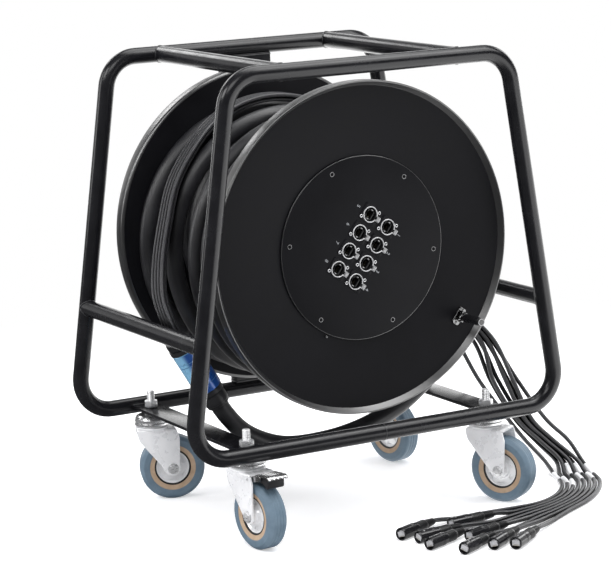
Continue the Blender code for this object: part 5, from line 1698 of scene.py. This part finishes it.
def addCrank():
    inward = math.atan2(crank["x"], -crank["z"])
    seat = drumPlace @ moved(crank["x"], crank["z"], crank["face"])
    seat = seat @ Matrix.Rotation(inward, 4, "Z")
    half, wide, thick = crank["baseLength"] / 2, crank["baseWidth"] / 2, crank["baseThick"]
    foot = roundCorners(oblong(half, wide), crank["footRound"], 6, True)
    parts = [slab(foot, 0.0, thick, 0.0007, 3)]
    pinHeight, pinRadius, radius = crank["pinHeight"], crank["pinRadius"], crank["earRadius"]
    steps, earLow = crank["earSteps"], thick - crank["earSink"]
    turns = [180.0 - 180.0 * i / steps for i in range(steps + 1)]
    ear = [pointOnArc((0.0, pinHeight), radius, turn) for turn in turns]
    ear = [Vector((-radius, earLow))] + ear + [Vector((radius, earLow))]
    standUp = Matrix(((0, 0, 1, 0), (1, 0, 0, 0), (0, 1, 0, 0), (0, 0, 0, 1)))
    for side in (-1, 1):
        low, high = sorted((side * crank["earIn"], side * crank["earOut"]))
        parts.append(placed(slab(ear, low, high, 0.0005, 2), standUp))
    for side in (-1, 1):
        spot = moved(side * (half - crank["screwInset"]), 0.0, thick)
        parts.append(placed(crossScrew(*crank["screw"]), spot))
    reach = crank["earOut"] + crank["pinProud"]
    parts.append(rod((-reach, 0.0, pinHeight), (reach, 0.0, pinHeight), pinRadius, 20, 0.0004))
    addPiece("crankBase", together(*parts), crankSteel, "drum", ("crank_base",),
             seat)
    fold = seat @ moved(0.0, 0.0, pinHeight)
    grip, shank, tip = crank["grip"], crank["shank"], crank["tip"]
    neck, shoulder, end = crank["collar"], crank["collar"] + crank["disc"], tip - crank["disc"]
    lower = [(0.0, crank["armLow"]), (shank, crank["armLow"]), (shank, neck), (grip, neck)]
    lower += [(grip, shoulder), (shank, shoulder), (shank, end), (0.0, end)]
    reach = crank["knuckle"]
    knuckle = rod((-reach, 0.0, 0.0), (reach, 0.0, 0.0), crank["knuckleRadius"], 28, 0.0006)
    bore = rod((-0.01, 0.0, 0.0), (0.01, 0.0, 0.0), pinRadius + crank["pinGap"], 16)
    bm = together(spun(roundCorners(lower, 0.0008, 3), 36), carved(knuckle, bore))
    addPiece("crankArm", bm, crankSteel, "crank_arm", ("crank_arm",), fold)
    cap = spun(roundCorners([(0.0, tip), (grip, tip), (grip, end), (0.0, end)], 0.001, 4), 40)
    addPiece("crankEndDisc", cap, gripPlastic, "crank_arm", (), fold)
    # A lighter steel ring round the cap's rim is a painted highlight of its lit edge
    ring = spun(stepped(crank["endLitRing"], grip, tip), 40, closed=True)
    addPiece("crankEndRing", ring, latchSteel, "crank_arm", (), fold)
    low, high = shoulder + crank["sleeveGap"], end - crank["sleeveGap"]
    bore = shank + crank["sleeveGap"]
    sleeve = roundCorners([(grip, high), (grip, low), (bore, low), (bore, high)], 0.0007, 3, True)
    addPiece("crankSleeve", spun(sleeve, 40, closed=True), gripPlastic, "crank_sleeve",
             ("crank_sleeve",), fold)


addCrank()
print("crank ready")


# Thick snake: the inner winding on the drum, the loose outer layer and its slack

snake = {
    "diameter": 0.0274,
    "packRadius": 0.1468,
    "packPitch": 0.0279,
    "packDive": 0.016,
    "coilRadius": 0.196,
    "sagX": -0.014,
    "sagZ": -0.014,
    "start": 15.0,
    "end": 270.0,
    "planes": (-0.112, -0.071, -0.03, 0.045, 0.1325),
    "crossFrom": 195.0,
    "crossTo": 345.0,
    "angleStep": 3.0,
    "slackStep": 0.008,
    "sides": 28,
}
# Angle about the axle, radius and y of each point of the slack
slackRoute = (
    (240.5, 0.3145, -0.0555),
    (252.0, 0.3155, -0.059),
    (265.0, 0.304, -0.064),
    (278.0, 0.294, -0.069),
    (290.0, 0.285, -0.074),
    (301.0, 0.274, -0.081),
    (312.0, 0.262, -0.086),
    (323.0, 0.248, -0.092),
    (334.0, 0.2325, -0.0985),
    (345.0, 0.216, -0.1045),
    (356.0, 0.199, -0.109),
)
breakout = {
    "top": (-0.2448, -0.0448, 0.2748),
    "bottom": (-0.2103, -0.0498, 0.214),
    "radius": 0.021,
    "grooves": (0.0147, 0.0203, 0.0565),
    "grooveWidth": 0.0016,
    "grooveDepth": 0.0011,
    "glandLength": 0.019,
    "seatRadius": 0.0215,
    "seatLength": 0.0076,
    "upperRadius": 0.0204,
    "lowerRadius": 0.0186,
    "lowerReach": 0.03,
    "edge": 0.001,
    "upperSeat": ((-0.0006, 0.0003), (0.0, 0.001)),
    "upperNeck": ((-0.003, 0.0004), (-0.003, 0.001), (0.0, 0.0014)),
    "knurls": 40,
    "knurlRadius": 0.0006,
    "knurlInset": (0.0002, 0.0012, 0.0008),
    "lowerSeat": ((-0.002, 0.0003), (-0.0016, 0.001)),
    "lowerNeck": ((-0.0022, 0.0004), (-0.0022, 0.001), (0.0, 0.0014)),
    "lowerEnd": ((0.0, -0.005), (-0.001, -0.0044), (-0.001, -0.0008), (-0.0016, 0.0)),
    "hoseGap": 0.0004,
    "hoseSink": 0.002,
}
runTop, runBottom = Vector(breakout["top"]), Vector(breakout["bottom"])
run = (runBottom - runTop).normalized()
breakoutPlace = Matrix.Translation(runTop) @ run.to_track_quat("Z", "Y").to_matrix().to_4x4()


def withDome(path, radius):
    # The path and its radii, carried on into a rounded end
    heading = (path[-1] - path[-2]).normalized()
    longer, radii = list(path), [radius] * len(path)
    for reach, share in ((0.35, 0.94), (0.65, 0.76), (0.88, 0.48), (0.98, 0.2)):
        longer.append(path[-1] + heading * radius * reach)
        radii.append(radius * share)
    return longer, radii


def addWinding():
    # Close turns between the flanges. Both ends dive below the layer
    radius = snake["diameter"] / 2
    low = drum["rearInner"] + radius + 0.0006
    high = drum["frontInner"] - radius - 0.0006
    turns = (high - low) / snake["packPitch"]
    count, diveSteps = round(turns * 72), 10
    path = []
    for i in range(-diveSteps, count + diveSteps + 1):
        share = min(max(i / count, 0.0), 1.0)
        dive = max(-i, i - count, 0) / diveSteps
        reach = snake["packRadius"] - snake["packDive"] * eased(dive)
        spot = pointOnArc((0.0, 0.0), reach, i * 5.0)
        path.append(Vector((*spot, low + share * (high - low))))
    front, frontRadii = withDome(path, radius)
    back, backRadii = withDome(path[::-1], radius)
    whole = back[len(path):][::-1] + front
    sizes = backRadii[len(path):][::-1] + frontRadii
    bm = swept(whole, radius, 24, radii=sizes)
    addToDrum("innerWinding", bm, snakeJacket, ("snake_pack",))


def coilPath():
    planes = snake["planes"]
    whole = 360.0 * (len(planes) - 1) + snake["end"] - snake["start"]
    count = round(whole / snake["angleStep"])
    middle = (snake["sagX"], base["axleZ"] + snake["sagZ"])
    path = []
    for i in range(count + 1):
        angle = snake["start"] + i * snake["angleStep"]
        turn, within = int(angle // 360.0), angle % 360.0
        y = planes[turn]
        if turn + 1 < len(planes):
            share = (within - snake["crossFrom"]) / (snake["crossTo"] - snake["crossFrom"])
            y += eased(share) * (planes[turn + 1] - y)
        spot = pointOnArc(middle, snake["coilRadius"], angle)
        path.append(Vector((spot.x, y, spot.y)))
    return path


def slackPath(coil):
    gland = runBottom + run * (breakout["glandLength"] + base["seatGap"])
    heading = (coil[1] - coil[0]).normalized()
    join = coil[0] - heading * base["seatGap"]
    points = [gland, gland + run * snake["diameter"]]
    for angle, reach, y in slackRoute:
        spot = pointOnArc((0.0, base["axleZ"]), reach, angle)
        points.append(Vector((spot.x, y, spot.y)))
    points += [join - heading * snake["diameter"], join]
    return smoothRoute(points, snake["slackStep"])


def grooved(radius, spots, width, depth):
    # Part of a turned profile: a wall with a groove at each height
    wall = []
    for z in spots:
        wall += [(radius, z - width / 2), (radius - depth, z - width / 4)]
        wall += [(radius - depth, z + width / 4), (radius, z + width / 2)]
    return wall


def addBreakout():
    radius, length, edge = breakout["radius"], (runBottom - runTop).length, breakout["edge"]
    wall = grooved(radius, breakout["grooves"], breakout["grooveWidth"], breakout["grooveDepth"])
    profile = [(0.0, 0.0), (radius - edge, 0.0), (radius, edge)] + wall
    profile += [(radius, length - edge), (radius - edge, length), (0.0, length)]
    tube = addPiece("breakoutTube", spun(profile, 96), blueAnodised, "stand",
                    ("breakout_tube",), breakoutPlace)
    # The upper gland runs up from the tube's top, where heights are negative
    seat, seatLength, far = breakout["seatRadius"], breakout["seatLength"], breakout["glandLength"]
    upper = breakout["upperRadius"]
    profile = [(0.0, base["seatGap"])] + stepped(breakout["upperSeat"], seat) + [(seat, seatLength)]
    profile += stepped(breakout["upperNeck"], upper, seatLength) + [(upper, far), (0.0, far)]
    profile = [(reach, -height) for reach, height in profile]
    nut = spun(roundCorners(profile, 0.0008, 3), 96)
    knurls, count = [], breakout["knurls"]
    inset, below, above = breakout["knurlInset"]
    low, high = above - far, -seatLength - breakout["edge"] - below
    for i in range(count):
        x, y = pointOnArc((0.0, 0.0), upper - inset, 360.0 / count * i)
        knurls.append(rod((x, y, low), (x, y, high), breakout["knurlRadius"], 8, 0.0002))
    top = addPiece("breakoutGlandUpper", together(nut, *knurls), glandPlastic, "stand",
                   ("breakout_gland_upper",), breakoutPlace)
    lower, reach = breakout["lowerRadius"], length + breakout["lowerReach"]
    inner, floor = snake["diameter"] / 2 + breakout["hoseGap"], length + far - breakout["hoseSink"]
    profile = stepped(breakout["lowerSeat"], seat, length)
    profile = [(0.0, length + base["seatGap"])] + profile + [(profile[-1][0], length + seatLength)]
    profile += stepped(breakout["lowerNeck"], lower, length + seatLength)
    profile += stepped(breakout["lowerEnd"], lower, reach)
    profile += [(inner, reach), (inner, floor), (0.0, floor)]
    nut = spun(roundCorners(profile, 0.0006, 3), 96)
    bottom = addPiece("breakoutGlandLower", nut, glandPlastic, "stand",
                      ("breakout_gland_lower",), breakoutPlace)
    return [tube, top, bottom]


def addSnake():
    coil = coilPath()
    path = coil[::-1] + slackPath(coil)[::-1]
    radius = snake["diameter"] / 2
    domed, radii = withDome(path[::-1], radius)
    bm = swept(domed[::-1], radius, snake["sides"], radii=radii[::-1])
    cord = addPiece("snakeCable", bm, snakeJacket, "stand",
                    ("snake_coil", "snake_slack"))
    bm = swept(path[:4], radius + breakout["hoseGap"], snake["sides"])
    tape = addPiece("snakeEndTape", bm, glandPlastic, "stand")
    fittings = addBreakout() + [tape]


addWinding()
addSnake()
print("snake ready")


# Thin tails, their labels and plugs

tail = {
    "diameter": 0.0068,
    "count": 8,
    "exitStep": 0.0038,
    "exitRow": 0.0034,
    "innerRadius": 0.2137,
    "layerStep": 0.0064,
    "lanePitch": 0.0076,
    "step": 0.006,
    "sides": 12,
    "labelRadius": 0.00366,
    "labelLength": 0.036,
    "glandSink": 0.0026,
    "bootSink": 0.0008,
    "collar": ((0.0034, -0.0005), (0.0034, 0.0016), (0.0037, 0.0012), (0.0037, -0.0005)),
}
# Four lanes of two tails, the even one outside: middle of the band and pitch of its lanes
riseStations = (
    ((-0.2645, -0.0395, 0.3145), 0.01),
    ((-0.2655, -0.015, 0.35), 0.0096),
    ((-0.25, 0.014, 0.3955), 0.009),
    ((-0.227, 0.035, 0.4542), 0.0084),
    ((-0.2035, 0.05, 0.505), 0.008),
)
# Angle round the winding and Y of the middle of the band there
tailBand = (
    (135.0, 0.06),
    (120.0, 0.078),
    (105.0, 0.09),
    (90.0, 0.099),
    (75.0, 0.104),
    (60.0, 0.104),
    (45.0, 0.1),
    (30.0, 0.094),
    (15.0, 0.086),
)
# Each tail from the winding down the right side to just over the floor
fallPoints = (
    ((0.2069, 0.0684, 0.3702), (0.2213, 0.0537, 0.3252), (0.246, 0.046, 0.268),
     (0.279, 0.035, 0.206), (0.306, 0.014, 0.14), (0.339, -0.02, 0.076),
     (0.354, -0.042, 0.046), (0.366, -0.077, 0.018)),
    ((0.2014, 0.0735, 0.3699), (0.2165, 0.0624, 0.3247), (0.2548, 0.0524, 0.2638),
     (0.3048, 0.0265, 0.2028), (0.325, 0.01, 0.138), (0.3515, -0.0208, 0.0745),
     (0.3709, -0.0467, 0.043), (0.3843, -0.0827, 0.0153)),
    ((0.209, 0.0766, 0.3703), (0.2303, 0.0597, 0.3252), (0.2613, 0.042, 0.2664),
     (0.3103, 0.013, 0.2044), (0.324, 0.001, 0.14), (0.3501, -0.0298, 0.0762),
     (0.3722, -0.056, 0.0454), (0.3864, -0.0923, 0.0184)),
    ((0.2028, 0.0814, 0.3698), (0.2257, 0.0683, 0.3248), (0.2655, 0.0498, 0.2647),
     (0.3124, 0.0219, 0.2036), (0.335, 0.003, 0.138), (0.3611, -0.0263, 0.0746),
     (0.3786, -0.0517, 0.0441), (0.3941, -0.0889, 0.0158)),
    ((0.2115, 0.0845, 0.3704), (0.2393, 0.0656, 0.3253), (0.2722, 0.043, 0.2672),
     (0.3192, 0.009, 0.2052), (0.341, -0.009, 0.14), (0.3594, -0.0357, 0.0769),
     (0.3812, -0.0614, 0.0455), (0.3972, -0.0982, 0.0185)),
    ((0.205, 0.0895, 0.3697), (0.2347, 0.0744, 0.3247), (0.2759, 0.052, 0.2657),
     (0.3213, 0.017, 0.2032), (0.3489, -0.0049, 0.1379), (0.3695, -0.0321, 0.0743),
     (0.3883, -0.057, 0.0431), (0.4048, -0.0958, 0.0155)),
    ((0.214, 0.0924, 0.3705), (0.2482, 0.0725, 0.3254), (0.2825, 0.0439, 0.2674),
     (0.3276, 0.0029, 0.2055), (0.351, -0.016, 0.139), (0.3694, -0.0411, 0.0764),
     (0.3904, -0.0672, 0.0456), (0.4092, -0.1062, 0.0175)),
    ((0.2075, 0.0975, 0.3696), (0.2437, 0.0815, 0.3246), (0.2863, 0.054, 0.266),
     (0.3293, 0.0129, 0.204), (0.362, -0.012, 0.137), (0.394, -0.046, 0.073),
     (0.415, -0.074, 0.043), (0.42, -0.104, 0.015)),
)
# On the floor: place of the first tail and of the last one
floorStations = (
    ((0.356, -0.12, 0.004), (0.412, -0.14, 0.004)),
    ((0.34, -0.16, 0.004), (0.396, -0.184, 0.004)),
    ((0.316, -0.194, 0.004), (0.36, -0.23, 0.004)),
    ((0.28, -0.224, 0.004), (0.313, -0.268, 0.004)),
    ((0.238, -0.24, 0.004), (0.256, -0.299, 0.004)),
)
plug = {
    "diameter": 0.019,
    "shell": 0.036,
    "back": 0.024,
    "boot": 0.02,
    "mouthRadius": 0.0078,
    "mouthDepth": 0.016,
    "backRadius": 0.0083,
    "bootRadius": 0.0052,
    "bootRoot": 0.0068,
    "insertWidth": 0.0116,
    "insertHeight": 0.008,
    "mouthEdge": ((0.0, 0.0006), (0.0004, 0.0)),
    "edge": 0.0007,
    "grooves": (0.0235, 0.0262),
    "collar": ((0.0, -0.0045), (-0.0007, -0.004), (-0.0007, 0.0)),
    "window": ((-0.0026, -0.0011, 0.0075), (0.0026, 0.002, 0.0125)),
    "catch": ((-0.0015, -0.0014, 0.0086), (0.0015, -0.0001, 0.0112)),
    "tongue": ((-0.003, -0.0005, 0.003), (0.003, 0.0016, 0.0165)),
    "bladeHalf": 0.00018,
    "bladeFrom": (-0.0001, 0.0011),
    "bladeTo": (0.0022, 0.006),
    "backFoot": ((-0.0006, -0.0004), (0.0, 0.0006)),
    "backRings": (5, 0.0045, 0.0032),
    "backTaper": 0.003,
    "bootRings": (7, 0.0012, 0.0026),
    "bootRing": ((-0.0007, 0.0), (0.0, 0.0003), (0.0, 0.0014), (-0.0007, 0.0017)),
    "sink": 0.0004,
}
# Nose of each plug, its heading, the floor points before it and the y of its label
plugPlaces = (
    ((-0.023, -0.274), 22.0, ((0.15, -0.235), (0.1, -0.233)), -0.13),
    ((0.064, -0.272), 6.0, ((0.186, -0.256),), -0.158),
    ((-0.011, -0.302), 8.0, ((0.19, -0.268), (0.135, -0.281)), -0.176),
    ((-0.016, -0.34), 20.0, ((0.192, -0.28), (0.13, -0.297)), -0.118),
    ((0.052, -0.339), 14.0, ((0.194, -0.292),), -0.15),
    ((0.012, -0.388), 26.0, ((0.198, -0.303), (0.14, -0.33)), -0.122),
    ((0.058, -0.394), 31.0, ((0.2, -0.314),), -0.158),
    ((0.085, -0.41), 33.0, ((0.21, -0.326),), -0.134),
)
floorZ = tail["diameter"] / 2 + base["seatGap"]


def between(station, k):
    first, last = (Vector(value) for value in station)
    return first.lerp(last, k / (tail["count"] - 1))


def risePoints(lane, sign):
    middles = [Vector(middle) for middle, _ in riseStations]
    points = []
    for i, (_, pitch) in enumerate(riseStations):
        way = middles[min(i + 1, len(middles) - 1)] - middles[max(i - 1, 0)]
        inward = Vector((way.z, 0.0, -way.x)).normalized()
        spot = middles[i] + inward * sign * tail["layerStep"] / 2
        spot.y += (lane + sign / 4) * pitch
        points.append(spot)
    return points


def tailExit(k):
    lateral = Vector((0.0, 1.0, 0.0))
    lateral = (lateral - run * lateral.dot(run)).normalized()
    out = run.cross(lateral).normalized()
    out *= -1.0 if out.x < 0.0 else 1.0
    mouth = runTop - run * (breakout["glandLength"] + base["seatGap"])
    sign = 1.0 if k % 2 else -1.0
    along = spread(tail["count"], tail["exitStep"])[k]
    return mouth + lateral * along + out * sign * tail["exitRow"]


def tailPath(k):
    start = tailExit(k)
    points = [start, start - run * tail["diameter"]]
    lane, sign = k // 2 - 1.5, 1.0 if k % 2 else -1.0
    points += risePoints(lane, sign)
    radius = tail["innerRadius"] + (0.0 if k % 2 else tail["layerStep"])
    for angle, middle in tailBand:
        spot = pointOnArc((snake["sagX"], base["axleZ"] + snake["sagZ"]), radius, angle)
        points.append(Vector((spot.x, middle + (lane + sign / 4) * tail["lanePitch"], spot.y)))
    points += [Vector(spot) for spot in fallPoints[k]]
    points += [between(station, k) for station in floorStations]
    nose, heading, floorPoints, _ = plugPlaces[k]
    points += [Vector((*spot, floorZ)) for spot in floorPoints]
    direction = Matrix.Rotation(math.radians(heading), 3, "Z") @ Vector((1.0, 0.0, 0.0))
    length = plug["shell"] + plug["back"] + plug["boot"]
    back = Vector((*nose, plug["diameter"] / 2 + base["seatGap"]))
    back += direction * (length + base["seatGap"])
    points += [back + direction * tail["diameter"], back]
    path = smoothRoute(points, tail["step"])
    for point in path:
        point.z = max(point.z, floorZ)
    return path


def addLabel(k, path):
    # A blank white sleeve shrunk on the tail where it reaches the floor
    target = plugPlaces[k][3]
    low = [i for i, point in enumerate(path) if point.z < 0.03 and point.x > 0.2]
    middle = min(low, key=lambda i: abs(path[i].y - target))
    steps = round(tail["labelLength"] / tail["step"] / 2)
    stretch = path[middle - steps:middle + steps + 1]
    bm = swept(stretch, tail["labelRadius"], 20)
    return addPiece("tailLabel_%d" % (k + 1), bm, labelWhite, "stand")


def addPlug(k):
    nose, heading, _, _ = plugPlaces[k]
    place = moved(*nose, plug["diameter"] / 2 + base["seatGap"])
    # The plugs lie rolled a little differently
    roll = turned(90.0 + 17.0 * (k % 3 - 1), "Z")
    place = place @ turned(heading, "Z") @ turned(90.0, "Y") @ roll
    pieces = []

    def addPart(part, bm, material, replaces=()):
        name = "plug%s_%d" % (part, k + 1)
        pieces.append(addPiece(name, bm, material, "stand", replaces, place))

    def lifted(corners, y, edge=0.0):
        low, high = ((across, y + up, deep) for across, up, deep in plug[corners])
        return block(low, high, edge)

    radius, shell = plug["diameter"] / 2, plug["shell"]
    mouth, floor = plug["mouthRadius"], plug["mouthDepth"]
    profile = [(0.0, floor), (mouth, floor)] + stepped(plug["mouthEdge"], mouth)
    profile += [(radius - plug["edge"], 0.0), (radius, plug["edge"])]
    profile += grooved(radius, plug["grooves"], 0.0012, 0.0004)
    profile += stepped(plug["collar"], radius, shell) + [(0.0, shell)]
    body = carved(spun(profile, 56), lifted("window", radius))
    addPart("Shell", body, plugShell, ("plug_%d" % (k + 1),))
    addPart("Catch", lifted("catch", radius, 0.0003), latchSteel)
    # Clear insert with its tongue and eight blades
    wide, tall = plug["insertWidth"] / 2, plug["insertHeight"] / 2
    insert = block((-wide, -tall, 0.0012), (wide, tall, floor + 0.0005), 0.0004)
    addPart("Insert", together(insert, lifted("tongue", tall, 0.0004)), plugClear)
    blades, half = [], plug["bladeHalf"]
    (lowY, lowZ), (highY, highZ) = plug["bladeFrom"], plug["bladeTo"]
    for x in spread(socket["contacts"], socket["contactPitch"]):
        blades.append(block((x - half, lowY - tall, lowZ), (x + half, highY - tall, highZ)))
    addPart("Contacts", together(*blades), contactGold)
    back, end, sink = shell + plug["back"], shell + plug["back"] + plug["boot"], plug["sink"]
    big, small, root = plug["backRadius"], plug["bootRadius"], plug["bootRoot"]
    count, start, pitch = plug["backRings"]
    profile = [(0.0, shell - sink)] + stepped(plug["backFoot"], big, shell)
    profile += grooved(big, [shell + start + pitch * i for i in range(count)], 0.0014, 0.0005)
    profile += [(big, back - plug["backTaper"]), (root, back), (0.0, back)]
    addPart("Back", spun(profile, 48), bootRubber)
    profile = [(0.0, back - sink), (root, back - sink)]
    count, start, pitch = plug["bootRings"]
    for i in range(count):
        reach = root + (small - root) * i / (count - 1)
        profile += stepped(plug["bootRing"], reach, back + start + pitch * i)
    profile += [(small - sink, end), (tail["diameter"] / 2 + 0.0002, end), (0.0, end - 0.001)]
    addPart("Boot", spun(profile, 40), bootRubber)
    return pieces


def addTail(k):
    # Both ends run on a little, into the gland and into the boot
    path = tailPath(k)
    heading = (path[-1] - path[-2]).normalized()
    sunk = [path[0] + run * tail["glandSink"]] + path + [path[-1] + heading * tail["bootSink"]]
    bm = swept(sunk, tail["diameter"] / 2, tail["sides"])
    cord = addPiece("tail_cable_%d" % (k + 1), bm, tailJacket, "stand",
                    ("tail_%d" % (k + 1),))
    fittings = addPlug(k) + [addLabel(k, path)]


for k in range(tail["count"]):
    addTail(k)
collars = []
turn = (-run).to_track_quat("Z", "Y").to_matrix().to_4x4()
for k in range(tail["count"]):
    collar = spun(tail["collar"], 20, closed=True)
    collars.append(placed(collar, Matrix.Translation(tailExit(k)) @ turn))
addPiece("tailCollars", together(*collars), bootRubber, "stand")
print("tails ready")
